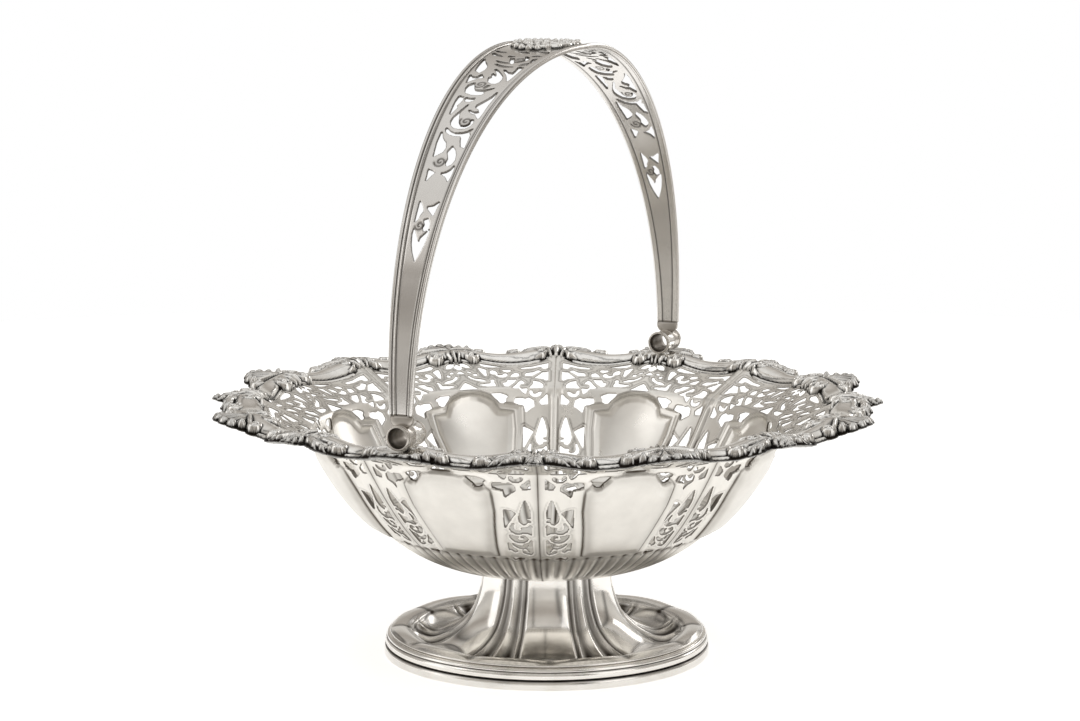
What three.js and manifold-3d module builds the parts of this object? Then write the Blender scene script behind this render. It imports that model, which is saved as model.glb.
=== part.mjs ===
// A silver basket on a foot: a pierced bowl with eight plain panels, a cast border, and a swing handle.
// Millimetres, +Z up. The origin is the centre of the foot's underside; the handle's hinges lie along Y.
import * as THREE from 'three';
import { mergeVertices } from 'three/addons/utils/BufferGeometryUtils.js';
import Module from 'manifold-3d';

const wasm = await Module();
wasm.setup();

// Driving dimensions of the foot.
const FOOT_RADIUS = 71.3;
const SKIRT_HEIGHT = 4.0;
const REED_HEIGHT = 4.6;
const BASE_RING_WIDTH = 4.2;
const BASE_RING_SWELL = 0.25;
const FOOT_HEIGHT = 38.2;
const STEM_RADIUS = 28.0;
const FOOT_WALL = 1.0;
const DISH_DEPTH = 4.8;
const DISH_RADIUS = 51.0;
const CREST_RADIUS = 63.0;
const CREST_RISE = 1.4;
const PLATE_INSET = 2.6;
const STEM_RELIEF = 1.1;

// Driving dimensions of the bowl.
const LOBES = 8;
const BOWL_WALL = 0.9;
const BOWL_DEPTH = 60.3;
const SHOULDER_RADIUS = 103.5;
const BAND_WIDTH = 22.5;
const BAND_RISE = 11.2;
const PANEL_STEP = 1.1;
const PANEL_SWELL = 1.8;
const PANEL_HALF_ANGLE = 14.2;
const PANEL_EDGE_ANGLE = 0.9;
const FIELD_HALF_ANGLE = 8.6;
const PANEL_FOOT_SHARE = 0.8;
const RIB_RELIEF = 1.0;
const RIB_HALF_ANGLE = 1.1;

// Driving dimensions of the cast border.
const BORDER_WIDTH = 12.5;
const BORDER_HEIGHT = 4.6;
const BORDER_SAG = 2.6;
const SHELL_REACH = 11.0;
const SHELL_LIFT = 1.4;
const LEAF_REACH = 6.5;
const SHELL_INNER_ANGLE = 3.2;
const SHELL_OUTER_ANGLE = 8.2;
const LEAF_INNER_ANGLE = 8.0;
const LEAF_FULL_ANGLE = 3.0;
const FLUTE_ANGLE = 2.37;
const FLUTE_RELIEF = 0.9;
const FLUTE_SCALLOP = 0.8;
const VOLUTE_ANGLE = 3.95;
const VOLUTE_HALF_ANGLE = 1.7;
const VOLUTE_RISE = 2.6;
const KNOT_HALF_ANGLE = 2.4;
const KNOT_RISE = 2.4;

// Driving dimensions of the hinges.
const HINGE_RISE = 8.4;
const HINGE_INSET = 1.5;
const HINGE_LENGTH = 16.0;
const PIN_BORE = 6.4;
const PIN_DIAMETER = 7.6;
const PIN_FLANGE_DIAMETER = 10.4;
const PIN_FLANGE_LENGTH = 1.6;
const KNUCKLE_LENGTH = 5.4;
const KNUCKLE_WALL = 1.0;
const SADDLE_HEIGHT = 3.2;
const LUG_NECK_WIDTH = 4.4;

// Driving dimensions of the handle.
const BOW_HEIGHT = 146.0;
const BOW_EXPONENT = 2.1;
const BOW_THICKNESS = 1.5;
const BOW_FOOT_WIDTH = 10.4;
const BOW_TOP_WIDTH = 38.2;
const BOW_TAPER = 1.3;
const EDGE_WIRE_WIDTH = 2.4;
const EDGE_WIRE_HEIGHT = 1.3;
const CREST_LENGTH = 40;
const CREST_WIDTH = 25;
const CREST_HEIGHT = 2.8;

// Clearances.
const SEAT_GAP = 0.3;
const TURNING_GAP = 0.25;

// Facets of the solids: round hinge parts, steps along the bow, steps along a border section.
const ROUND_SEGMENTS = 24;
const BOW_STEPS = 46;
const BORDER_STEPS = 38;
const FLARE_ROWS = 6;
const STEM_COLUMNS = 6;
const RING_COLUMNS = 7;

// Heights and radii that follow from the sizes above.
const LOBE_ANGLE = 360 / LOBES;
const BASE_TOP_Z = SKIRT_HEIGHT + SEAT_GAP + REED_HEIGHT;
const SHOULDER_Z = FOOT_HEIGHT + SEAT_GAP + BOWL_DEPTH;
const RIM_RADIUS = SHOULDER_RADIUS + BAND_WIDTH;
const RIM_Z = SHOULDER_Z + BAND_RISE;
const BORDER_INNER_RADIUS = RIM_RADIUS + SEAT_GAP;
const HINGE_RADIUS = BORDER_INNER_RADIUS + BORDER_WIDTH / 2 + HINGE_INSET;
const HINGE_Z = RIM_Z + HINGE_RISE;

const metal = (name, color, roughness) =>
  new THREE.MeshStandardMaterial({ name, color, roughness, metalness: 1 });
const sheetSilver = metal('sheet_silver', 0xd9d5ce, 0.22);
const castSilver = metal('cast_silver', 0xbdb7ae, 0.3);
const footSilver = metal('foot_silver', 0xcfc9c0, 0.2);
const handleSilver = metal('handle_silver', 0xd2cec8, 0.24);
const hingeSilver = metal('hinge_silver', 0xc4c0ba, 0.25);

const degrees = THREE.MathUtils.degToRad;
const mix = THREE.MathUtils.lerp;
const smooth = THREE.MathUtils.smoothstep;

// Turns a geometry into a closed solid whose faces point out.
function solid(geometry) {
  const bare = geometry.clone();
  bare.deleteAttribute('normal');
  bare.deleteAttribute('uv');
  const merged = mergeVertices(bare, 1e-4);
  const corners = merged.attributes.position.array;
  const faces = new Uint32Array(merged.index.array);
  const made = new wasm.Manifold(
    new wasm.Mesh({ numProp: 3, vertProperties: corners, triVerts: faces }),
  );
  if (made.volume() > 0) return made;
  return new wasm.Manifold(
    new wasm.Mesh({ numProp: 3, vertProperties: corners, triVerts: faces.reverse() }),
  );
}

function geometryOf(body) {
  const { vertProperties, triVerts } = body.getMesh();
  const geometry = new THREE.BufferGeometry();
  geometry.setAttribute('position', new THREE.BufferAttribute(vertProperties.slice(), 3));
  geometry.setIndex(new THREE.BufferAttribute(triVerts.slice(), 1));
  geometry.computeVertexNormals();
  return geometry;
}

// Moves every vertex of a geometry to the point that place(x, y, z) returns.
function warp(geometry, place) {
  const corners = geometry.attributes.position;
  for (let i = 0; i < corners.count; i += 1) {
    const [x, y, z] = place(corners.getX(i), corners.getY(i), corners.getZ(i));
    corners.setXYZ(i, x, y, z);
  }
  return geometry;
}

function polar(radius, angle, z) {
  return [radius * Math.sin(degrees(angle)), radius * Math.cos(degrees(angle)), z];
}

// Degrees from the nearest lobe axis, between minus and plus half a lobe.
function fromLobeAxis(angle) {
  return angle - LOBE_ANGLE * Math.round(angle / LOBE_ANGLE);
}

// A profile of [radius, z] points spun about Z with the given columns of angles in each lobe.
// The relief moves a point of the profile out by relief(angle, index of the point), and a column may lean.
function spin(profile, columns, relief, lean = (angle) => angle) {
  const count = columns.length * LOBES;
  const lathe = new THREE.LatheGeometry(profile.map(([r, z]) => new THREE.Vector2(r, z)), count);
  const rows = profile.length;
  const corners = lathe.attributes.position;
  for (let i = 0; i < corners.count; i += 1) {
    const column = Math.floor(i / rows) % count;
    const straight = LOBE_ANGLE * Math.floor(column / columns.length) + columns[column % columns.length];
    const angle = lean(straight, i % rows);
    const [r, z] = profile[i % rows];
    const radius = r === 0 ? 0 : r + relief(angle, i % rows);
    corners.setXYZ(i, ...polar(radius, angle, z));
  }
  return solid(lathe);
}

const plainRelief = () => 0;
const evenColumns = (count) =>
  Array.from({ length: count }, (_, i) => (LOBE_ANGLE * i) / count);

// A line of [radius, z] points moved sideways by a distance; the last point is the outermost.
function offsetProfile(points, distance) {
  return points.map(([r, z], i) => {
    const [r0, z0] = points[Math.max(i - 1, 0)];
    const [r1, z1] = points[Math.min(i + 1, points.length - 1)];
    const length = Math.hypot(r1 - r0, z1 - z0);
    const moved = r - (distance * (z1 - z0)) / length;
    return [r === 0 ? 0 : Math.max(moved, 0.1), z + (distance * (r1 - r0)) / length];
  });
}

// The bowl's outer profile: a flat bottom, one long curve up to the shoulder, and the sloped band.
const wallCurve = new THREE.CubicBezierCurve(
  new THREE.Vector2(STEM_RADIUS, FOOT_HEIGHT + SEAT_GAP),
  new THREE.Vector2(mix(STEM_RADIUS, SHOULDER_RADIUS, 0.5), mix(FOOT_HEIGHT, SHOULDER_Z, 0.03)),
  new THREE.Vector2(mix(STEM_RADIUS, SHOULDER_RADIUS, 0.742), mix(FOOT_HEIGHT, SHOULDER_Z, 0.46)),
  new THREE.Vector2(SHOULDER_RADIUS, SHOULDER_Z),
);

// Rows of points up the wall, as shares of the curve: the stem, the panels' foot, their shoulders and their humps.
const WALL_HEIGHTS = [0, 0.28, 0.5, 0.53, 0.72, 0.88, 0.925, 0.96, 1];
const wallPoints = WALL_HEIGHTS.map((share) => wallCurve.getPoint(share)).map((p) => [p.x, p.y]);
const bowlProfile = [[0, FOOT_HEIGHT + SEAT_GAP], ...wallPoints, [RIM_RADIUS, RIM_Z]];

// The panels narrow towards their foot: this is the share of their width at a height of the wall.
function panelShare(height) {
  return mix(PANEL_FOOT_SHARE, 1, smooth(height, WALL_HEIGHTS[3], WALL_HEIGHTS[5]));
}

// A column of points, given by its angle at the shoulder, leans with the panels' edges.
function leaningColumn(angle, height) {
  const axis = angle - fromLobeAxis(angle);
  const side = fromLobeAxis(angle);
  const rest = (LOBE_ANGLE / 2 - Math.abs(side)) / (LOBE_ANGLE / 2 - PANEL_HALF_ANGLE);
  const share = mix(panelShare(height), 1, 1 - Math.min(rest, 1));
  return Math.abs(side) < LOBE_ANGLE / 2 ? axis + side * share : angle;
}

// The plain panels step out at their edges and swell in their field; a narrow rib stands in between them.
function bowlRelief(angle, height) {
  const side = Math.abs(fromLobeAxis(angle)) / panelShare(height);
  const inPanel = smooth(height, WALL_HEIGHTS[2], WALL_HEIGHTS[3]);
  const shoulders = 1 - smooth(height, WALL_HEIGHTS[6], WALL_HEIGHTS[7]);
  const hump = 1 - smooth(height, WALL_HEIGHTS[7], WALL_HEIGHTS[8]);
  const top = mix(hump, shoulders, smooth(side, 0, FIELD_HALF_ANGLE));
  const step = 1 - smooth(side, PANEL_HALF_ANGLE - PANEL_EDGE_ANGLE, PANEL_HALF_ANGLE);
  const swell = Math.max(1 - (side / (PANEL_HALF_ANGLE - PANEL_EDGE_ANGLE)) ** 2, 0);
  const fromRib = LOBE_ANGLE / 2 - Math.abs(fromLobeAxis(angle));
  const ribFade = smooth(height, 0.1, 0.3) * (1 - smooth(height, WALL_HEIGHTS[7], WALL_HEIGHTS[8]));
  const rib = fromRib < RIB_HALF_ANGLE / 2 ? RIB_RELIEF * ribFade : 0;
  return inPanel * top * (PANEL_STEP * step + PANEL_SWELL * swell) - rib;
}

// A point of the bowl's sheet: height 0 is the stem, 1 the shoulder and 2 the rim; out is outwards.
function bowlPoint(angle, height, out) {
  const onWall = height < 1;
  const p = wallCurve.getPoint(Math.min(height, 1));
  const slope = onWall ? wallCurve.getTangent(height) : new THREE.Vector2(BAND_WIDTH, BAND_RISE);
  slope.normalize();
  const along = onWall ? 0 : height - 1;
  const r = p.x + along * BAND_WIDTH + out * slope.y + bowlRelief(angle, Math.min(height, 1));
  return polar(r, angle, p.y + along * BAND_RISE - out * slope.x);
}

// A cutter through the bowl's sheet with an outline of [angle, height] points.
function bowlCutter(outline) {
  const reach = 3 * BOWL_WALL;
  const shape = new THREE.Shape(outline.map(([angle, height]) => new THREE.Vector2(angle, height)));
  const block = new THREE.ExtrudeGeometry(shape, { depth: 2 * reach, bevelEnabled: false });
  return solid(warp(block, (angle, height, out) => bowlPoint(angle, height, out - reach)));
}

// Openings of one lobe, in degrees from the lobe axis and sheet height, mirrored about the axis.
const archOpening = [[-6.6, 1.04], [0, 1.14], [6.6, 1.04], [4.6, 1.27], [0, 1.42], [-4.6, 1.27]];
const sideOpenings = [
  [[2.0, 1.62], [5.4, 1.5], [8.2, 1.62], [5.0, 1.84]],
  [[10.2, 1.5], [13.0, 1.44], [14.4, 1.72], [11.4, 1.8]],
  [[16.2, 1.42], [20.0, 1.38], [20.4, 1.7], [17.4, 1.66]],
  [[15.6, 1.06], [18.4, 1.04], [19.8, 1.16], [17.2, 1.22]],
  [[14.2, 0.68], [19.6, 0.66], [19.0, 0.8]],
  [[14.4, 0.46], [19.6, 0.46], [19.6, 0.58], [15.2, 0.58]],
];

function bowlSolid() {
  const half = LOBE_ANGLE / 2;
  const right = [FIELD_HALF_ANGLE, PANEL_HALF_ANGLE - PANEL_EDGE_ANGLE, PANEL_HALF_ANGLE, half - RIB_HALF_ANGLE];
  const columns = [-half, ...right.map((angle) => -angle).reverse(), 0, ...right];
  const inner = offsetProfile(bowlProfile, BOWL_WALL).reverse();
  const profile = [...bowlProfile, ...inner];
  const last = bowlProfile.length - 1;
  const heightOfRow = (row) => {
    const index = row <= last ? row : 2 * last + 1 - row;
    return WALL_HEIGHTS[Math.min(Math.max(index - 1, 0), WALL_HEIGHTS.length - 1)];
  };
  const lean = (angle, row) => leaningColumn(angle, heightOfRow(row));
  const relief = (angle, row) => bowlRelief(angle, heightOfRow(row));
  const shell = spin(profile, columns, relief, lean);
  const cutters = [];
  for (let lobe = 0; lobe < LOBES; lobe += 1) {
    const axis = lobe * LOBE_ANGLE;
    cutters.push(bowlCutter(archOpening.map(([a, h]) => [axis + a, h])));
    for (const opening of sideOpenings) {
      for (const side of [-1, 1]) {
        cutters.push(bowlCutter(opening.map(([a, h]) => [axis + side * a, h])));
      }
    }
  }
  return shell.subtract(wasm.Manifold.union(cutters));
}

// Foot: a trumpet stem flowing into a dished plate whose crest rises again before the edge.
function pedestalProfile() {
  const seat = BASE_TOP_Z + SEAT_GAP;
  const bottom = seat + FOOT_WALL - DISH_DEPTH;
  const flare = new THREE.CubicBezierCurve(
    new THREE.Vector2(STEM_RADIUS, FOOT_HEIGHT),
    new THREE.Vector2(mix(STEM_RADIUS, DISH_RADIUS, 0.026), mix(bottom, FOOT_HEIGHT, 0.45)),
    new THREE.Vector2(mix(STEM_RADIUS, DISH_RADIUS, 0.4), bottom + FOOT_WALL),
    new THREE.Vector2(DISH_RADIUS, bottom),
  );
  const points = flare.getPoints(FLARE_ROWS).map((p) => [p.x, p.y]);
  const edge = FOOT_RADIUS - PLATE_INSET;
  const crestZ = seat + FOOT_WALL + CREST_RISE;
  const plate = [[mix(DISH_RADIUS, CREST_RADIUS, 0.6), mix(bottom, crestZ, 0.55)]];
  return [...points, ...plate, [CREST_RADIUS, crestZ], [edge, seat + FOOT_WALL]];
}

function pedestalRelief(angle, row) {
  const side = Math.abs(fromLobeAxis(angle)) / (LOBE_ANGLE / 2);
  const fade = 1 - Math.abs(row - 3) / 4;
  return STEM_RELIEF * Math.max(fade, 0) * (0.5 - side);
}

function pedestalSolid() {
  const outer = pedestalProfile();
  const inner = offsetProfile(outer, -FOOT_WALL);
  const under = inner.map(([r, z], i) => [r, i === outer.length - 1 ? outer[i][1] - FOOT_WALL : z]);
  under[0][1] = FOOT_HEIGHT;
  const profile = [...outer, ...under.reverse(), outer[0]];
  const last = outer.length - 1;
  const rowOf = (row) => (row <= last ? row : Math.max(2 * last + 1 - row, 0));
  return spin(profile, evenColumns(STEM_COLUMNS), (angle, row) => pedestalRelief(angle, rowOf(row)));
}

// A ring of moulding round the base: a closed profile between two radii and two heights.
function baseRing(innerRadius, outerLow, outerHigh, low, high) {
  const belly = (high - low) * 0.22;
  const profile = [
    [innerRadius, low],
    [outerLow, low],
    [outerLow + BASE_RING_SWELL, low + belly],
    [outerHigh + BASE_RING_SWELL, high - belly],
    [outerHigh, high],
    [innerRadius, high],
    [innerRadius, low],
  ];
  return spin(profile, evenColumns(RING_COLUMNS), plainRelief);
}

// Border: every lobe has one cast section, from knot to knot, with a shell on the lobe axis.
function borderShape(angle) {
  const side = Math.abs(angle);
  const half = LOBE_ANGLE / 2;
  const shell = 1 - smooth(side, SHELL_INNER_ANGLE, SHELL_OUTER_ANGLE);
  const leaf = smooth(side, half - LEAF_INNER_ANGLE, half - LEAF_FULL_ANGLE);
  const sag = BORDER_SAG * Math.sin((Math.PI * side) / half) ** 2;
  const inFlute = 0.5 - 0.5 * Math.cos((2 * Math.PI * Math.min(side, half - side)) / FLUTE_ANGLE);
  const flute = inFlute * Math.max(shell, leaf);
  const volute = 1 - smooth(Math.abs(side - VOLUTE_ANGLE), 0.4 * VOLUTE_HALF_ANGLE, VOLUTE_HALF_ANGLE);
  const knot = 1 - smooth(half - side, 0.4 * KNOT_HALF_ANGLE, KNOT_HALF_ANGLE);
  return {
    width: BORDER_WIDTH + SHELL_REACH * shell + LEAF_REACH * leaf - FLUTE_SCALLOP * flute,
    height: BORDER_HEIGHT + SHELL_LIFT * shell - FLUTE_RELIEF * flute,
    base: RIM_Z - sag,
    boss: VOLUTE_RISE * volute + KNOT_RISE * knot,
  };
}

// The border's cross-section as [share of the width, share of the height] points, inner edge first.
const BORDER_SECTION = [
  [0, 0], [0.09, 0.4], [0.2, 0.3], [0.66, 0.34], [0.88, 1], [1, 0.78], [0.9, 0.18], [0.4, -0.3],
];
// The bosses of the volutes and the knots raise the section's inner roll.
const ROLL_OUTER_SHARE = 0.3;

function borderSolid(lobe) {
  const half = LOBE_ANGLE / 2 - THREE.MathUtils.radToDeg(SEAT_GAP / 2 / BORDER_INNER_RADIUS);
  const shape = new THREE.Shape(BORDER_SECTION.map(([x, y]) => new THREE.Vector2(x, y)));
  const bar = new THREE.ExtrudeGeometry(shape, { depth: 1, steps: BORDER_STEPS, bevelEnabled: false });
  return solid(warp(bar, (across, up, along) => {
    const angle = mix(-half, half, along);
    const { width, height, base, boss } = borderShape(angle);
    const lift = up > 0 && across < ROLL_OUTER_SHARE ? boss : 0;
    const z = base + up * height + lift;
    return polar(BORDER_INNER_RADIUS + across * width, lobe * LOBE_ANGLE + angle, z);
  }));
}

// Height of the border's upper face at a radius, on the lobe axis.
function borderTopZ(radius) {
  const { width, height, base } = borderShape(0);
  const across = (radius - BORDER_INNER_RADIUS) / width;
  const upper = BORDER_SECTION.slice(0, 6);
  const next = upper.findIndex(([x]) => x > across);
  const [x0, y0] = upper[next - 1];
  const [x1, y1] = upper[next];
  return base + height * mix(y0, y1, (across - x0) / (x1 - x0));
}

// A ring about the hinge axis, which runs along Y, between two radii from the basket's axis.
function hingeRing(innerDiameter, outerDiameter, from, to) {
  const profile = [
    [innerDiameter / 2, from],
    [outerDiameter / 2, from],
    [outerDiameter / 2, to],
    [innerDiameter / 2, to],
    [innerDiameter / 2, from],
  ];
  const points = profile.map(([r, y]) => new THREE.Vector2(r, y));
  const ring = new THREE.LatheGeometry(points, ROUND_SEGMENTS);
  return solid(ring.translate(0, 0, HINGE_Z));
}

const PIN_START = HINGE_RADIUS - HINGE_LENGTH / 2;
const PIN_END = HINGE_RADIUS + HINGE_LENGTH / 2;
const RING_INNER_DIAMETER = PIN_DIAMETER + 2 * TURNING_GAP;
const RING_OUTER_DIAMETER = RING_INNER_DIAMETER + 2 * KNUCKLE_WALL;
const KNUCKLE_END = PIN_END - PIN_FLANGE_LENGTH - SEAT_GAP;
const KNUCKLE_START = KNUCKLE_END - KNUCKLE_LENGTH;
const LUG_START = PIN_START + PIN_FLANGE_LENGTH + SEAT_GAP;
const LUG_END = KNUCKLE_START - SEAT_GAP;
const KNUCKLE_MIDDLE = (KNUCKLE_START + KNUCKLE_END) / 2;
const BOW_FOOT_Z = HINGE_Z + RING_OUTER_DIAMETER / 2 + SADDLE_HEIGHT;

// The hinge pin is a tube whose two ends are spread into flanges.
function pinSolid() {
  const bore = PIN_BORE / 2;
  const tube = PIN_DIAMETER / 2;
  const flange = PIN_FLANGE_DIAMETER / 2;
  const profile = [
    [bore, PIN_START],
    [flange, PIN_START],
    [flange, PIN_START + PIN_FLANGE_LENGTH],
    [tube, PIN_START + PIN_FLANGE_LENGTH],
    [tube, PIN_END - PIN_FLANGE_LENGTH],
    [flange, PIN_END - PIN_FLANGE_LENGTH],
    [flange, PIN_END],
    [bore, PIN_END],
    [bore, PIN_START],
  ];
  const points = profile.map(([r, y]) => new THREE.Vector2(r, y));
  const spool = new THREE.LatheGeometry(points, ROUND_SEGMENTS);
  return solid(spool.translate(0, 0, HINGE_Z));
}

// The lug is a ring on a neck that spreads into a foot lying on the border.
function lugSolid() {
  const ring = hingeRing(RING_INNER_DIAMETER, RING_OUTER_DIAMETER, LUG_START, LUG_END);
  const top = HINGE_Z - RING_INNER_DIAMETER / 2 - TURNING_GAP;
  const rollRadius = BORDER_INNER_RADIUS + BORDER_SECTION[1][0] * borderShape(0).width;
  const start = Math.max(LUG_START, rollRadius);
  const neck = new THREE.BoxGeometry(1, 1, 1, 1, 4, 1);
  const post = solid(warp(neck, (x, y, z) => {
    const radius = mix(start, LUG_END, y + 0.5);
    const isLow = z < 0;
    const spread = isLow ? 1.5 : 1;
    const height = isLow ? borderTopZ(radius) + SEAT_GAP : top;
    return [x * LUG_NECK_WIDTH * spread, radius, height];
  }));
  return ring.add(post);
}

// The knuckle is a ring with a saddle above it that carries the bow's foot.
function knuckleSolid() {
  const ring = hingeRing(RING_INNER_DIAMETER, RING_OUTER_DIAMETER, KNUCKLE_START, KNUCKLE_END);
  const outer = RING_OUTER_DIAMETER / 2;
  const low = Math.sqrt(outer ** 2 - (outer * 0.6) ** 2);
  const shape = new THREE.Shape();
  shape.moveTo(-BOW_FOOT_WIDTH / 2, BOW_FOOT_Z - HINGE_Z);
  shape.quadraticCurveTo(-BOW_FOOT_WIDTH / 2, low, -outer * 0.6, low);
  shape.lineTo(outer * 0.6, low);
  shape.quadraticCurveTo(BOW_FOOT_WIDTH / 2, low, BOW_FOOT_WIDTH / 2, BOW_FOOT_Z - HINGE_Z);
  const depth = 2 * BOW_THICKNESS;
  const block = new THREE.ExtrudeGeometry(shape, { depth, bevelEnabled: false, curveSegments: 4 });
  const saddle = warp(block, (x, y, z) => [x, KNUCKLE_MIDDLE + z - depth / 2, HINGE_Z + y]);
  return ring.add(solid(saddle).subtract(pinClearance()));
}

function pinClearance() {
  const bore = new THREE.CylinderGeometry(1, 1, HINGE_LENGTH, ROUND_SEGMENTS);
  const radius = (RING_INNER_DIAMETER + KNUCKLE_WALL) / 2;
  return solid(bore.scale(radius, 1, radius).translate(0, HINGE_RADIUS, HINGE_Z));
}

// The bow's centre line is a quarter of a superellipse on each side, upright at its foot.
const BOW_HALF_SPAN = KNUCKLE_MIDDLE;
const BOW_TOP_Z = HINGE_Z + BOW_HEIGHT;
const BOW_START_Z = BOW_FOOT_Z + SEAT_GAP;

function bowLine(turn) {
  const angle = (turn * Math.PI) / 2;
  const power = 2 / BOW_EXPONENT;
  const height = (BOW_TOP_Z - BOW_START_Z) * Math.sin(angle) ** power;
  return [BOW_HALF_SPAN * Math.max(Math.cos(angle), 0) ** power, BOW_START_Z + height];
}

// Stations along the right half of the bow, with each one's distance from the foot.
const BOW_STATIONS = 400;
function measureBow() {
  const stations = [];
  let distance = 0;
  let previous = null;
  for (let i = 0; i <= BOW_STATIONS; i += 1) {
    const [r, z] = bowLine(i / BOW_STATIONS);
    if (previous) distance += Math.hypot(r - previous[0], z - previous[1]);
    stations.push({ distance, r, z });
    previous = [r, z];
  }
  return stations;
}
const bowStations = measureBow();
const BOW_HALF_LENGTH = bowStations[BOW_STATIONS].distance;

function bowWidth(share) {
  return mix(BOW_FOOT_WIDTH, BOW_TOP_WIDTH, Math.abs(share) ** BOW_TAPER);
}

// A point of the bow: share runs from 0 at the right foot over 1 at the top to 2 at the left foot,
// across is in millimetres from the middle of the strip, and out is away from its inner face.
function bowPoint(share, across, out) {
  const side = share <= 1 ? 1 : -1;
  const target = Math.min(Math.max(side > 0 ? share : 2 - share, 0), 1) * BOW_HALF_LENGTH;
  const next = Math.max(bowStations.findIndex((s) => s.distance >= target - 1e-9), 1);
  const a = bowStations[next - 1];
  const b = bowStations[next];
  const part = (target - a.distance) / (b.distance - a.distance);
  const length = Math.hypot(b.r - a.r, b.z - a.z);
  const isTop = share === 1;
  const isFoot = share === 0 || share === 2;
  const normalR = isTop ? 0 : isFoot ? 1 : (b.z - a.z) / length;
  const normalZ = isTop ? 1 : isFoot ? 0 : (a.r - b.r) / length;
  const offset = out - BOW_THICKNESS / 2;
  const r = mix(a.r, b.r, part) + normalR * offset;
  return [across, side * r, mix(a.z, b.z, part) + normalZ * offset];
}

const shareWidth = (share) => bowWidth(share <= 1 ? share : 2 - share);

// A cutter through the bow with an outline of [share, share of the half width] points.
function bowCutter(outline) {
  const shape = new THREE.Shape(outline.map(([s, a]) => new THREE.Vector2(s, a)));
  const depth = 5 * BOW_THICKNESS;
  const block = new THREE.ExtrudeGeometry(shape, { depth, bevelEnabled: false });
  return solid(warp(block, (share, a, out) =>
    bowPoint(share, (a * shareWidth(share)) / 2, out - 2 * BOW_THICKNESS)));
}

// Openings of one leg of the bow, as [share, share of the half width]; paired ones are mirrored.
const bowPointed = [[0.3, 0], [0.36, -0.5], [0.39, 0], [0.36, 0.5]];
const bowPaired = [
  [[0.4, 0.16], [0.43, 0.56], [0.46, 0.5], [0.44, 0.14]],
  [[0.49, 0.58], [0.53, 0.62], [0.55, 0.52], [0.5, 0.46]],
  [[0.57, 0.12], [0.61, 0.6], [0.65, 0.56], [0.63, 0.12]],
  [[0.67, 0.14], [0.69, 0.62], [0.74, 0.64], [0.73, 0.14]],
  [[0.76, 0.14], [0.78, 0.64], [0.83, 0.66], [0.82, 0.14]],
  [[0.85, 0.14], [0.87, 0.66], [0.9, 0.66], [0.89, 0.14]],
];

function bowSolid() {
  const shape = new THREE.Shape();
  shape.moveTo(-0.5, 0);
  shape.lineTo(0.5, 0);
  shape.lineTo(0.5, BOW_THICKNESS);
  shape.lineTo(-0.5, BOW_THICKNESS);
  const bar = new THREE.ExtrudeGeometry(shape, { depth: 2, steps: BOW_STEPS, bevelEnabled: false });
  const strip = solid(warp(bar, (x, out, share) => bowPoint(share, x * shareWidth(share), out)));
  const cutters = [];
  for (const leg of [(s) => s, (s) => 2 - s]) {
    cutters.push(bowCutter(bowPointed.map(([s, a]) => [leg(s), a])));
    for (const opening of bowPaired) {
      cutters.push(bowCutter(opening.map(([s, a]) => [leg(s), a])));
      cutters.push(bowCutter(opening.map(([s, a]) => [leg(s), -a])));
    }
  }
  return strip.subtract(wasm.Manifold.union(cutters));
}

// A half-round wire along one edge of the bow's outer face.
function edgeWireSolid(side) {
  const shape = new THREE.Shape();
  shape.moveTo(0, 0);
  shape.lineTo(EDGE_WIRE_WIDTH, 0);
  shape.lineTo(EDGE_WIRE_WIDTH * 0.85, EDGE_WIRE_HEIGHT * 0.7);
  shape.lineTo(EDGE_WIRE_WIDTH * 0.5, EDGE_WIRE_HEIGHT);
  shape.lineTo(EDGE_WIRE_WIDTH * 0.15, EDGE_WIRE_HEIGHT * 0.7);
  const bar = new THREE.ExtrudeGeometry(shape, { depth: 2, steps: BOW_STEPS, bevelEnabled: false });
  const seat = BOW_THICKNESS + SEAT_GAP;
  return solid(warp(bar, (x, out, share) =>
    bowPoint(share, side * (shareWidth(share) / 2 - x), seat + out)));
}

// The cast ornament on the crown of the bow: an oval boss that follows the bow's curve.
function crestSolid() {
  const boss = new THREE.SphereGeometry(1, 18, 8).rotateX(Math.PI / 2);
  const halfShare = CREST_LENGTH / 2 / BOW_HALF_LENGTH;
  const seat = BOW_THICKNESS + SEAT_GAP;
  return solid(warp(boss, (x, y, z) =>
    bowPoint(1 - y * halfShare, (x * CREST_WIDTH) / 2, seat + (1 + z) * (CREST_HEIGHT / 2))));
}

const basket = new THREE.Group();
basket.name = 'silver_basket';

function place(name, body, material, parent = basket) {
  const mesh = new THREE.Mesh(geometryOf(body), material);
  mesh.name = name;
  parent.add(mesh);
}

const baseInner = FOOT_RADIUS - BASE_RING_WIDTH;
const skirtTop = FOOT_RADIUS - 0.6;
const reedTop = FOOT_RADIUS - 1.6;
place('base_skirt', baseRing(baseInner, FOOT_RADIUS - 0.25, skirtTop, 0, SKIRT_HEIGHT), footSilver);
place('base_reed_ring',
  baseRing(baseInner, skirtTop - 0.25, reedTop, SKIRT_HEIGHT + SEAT_GAP, BASE_TOP_Z), footSilver);
place('foot_pedestal', pedestalSolid(), footSilver);
place('bowl', bowlSolid(), sheetSilver);
for (let lobe = 0; lobe < LOBES; lobe += 1) {
  place(`border_section_${lobe + 1}`, borderSolid(lobe), castSilver);
}

// The two hinges: one at +Y and one, turned by half a turn, at -Y.
for (const [side, turn] of [['back', 0], ['front', Math.PI]]) {
  const hinge = new THREE.Group();
  hinge.rotation.z = turn;
  basket.add(hinge);
  place(`hinge_lug_${side}`, lugSolid(), castSilver, hinge);
  place(`hinge_pin_${side}`, pinSolid(), hingeSilver, hinge);
  place(`handle_knuckle_${side}`, knuckleSolid(), hingeSilver, hinge);
}

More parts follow.
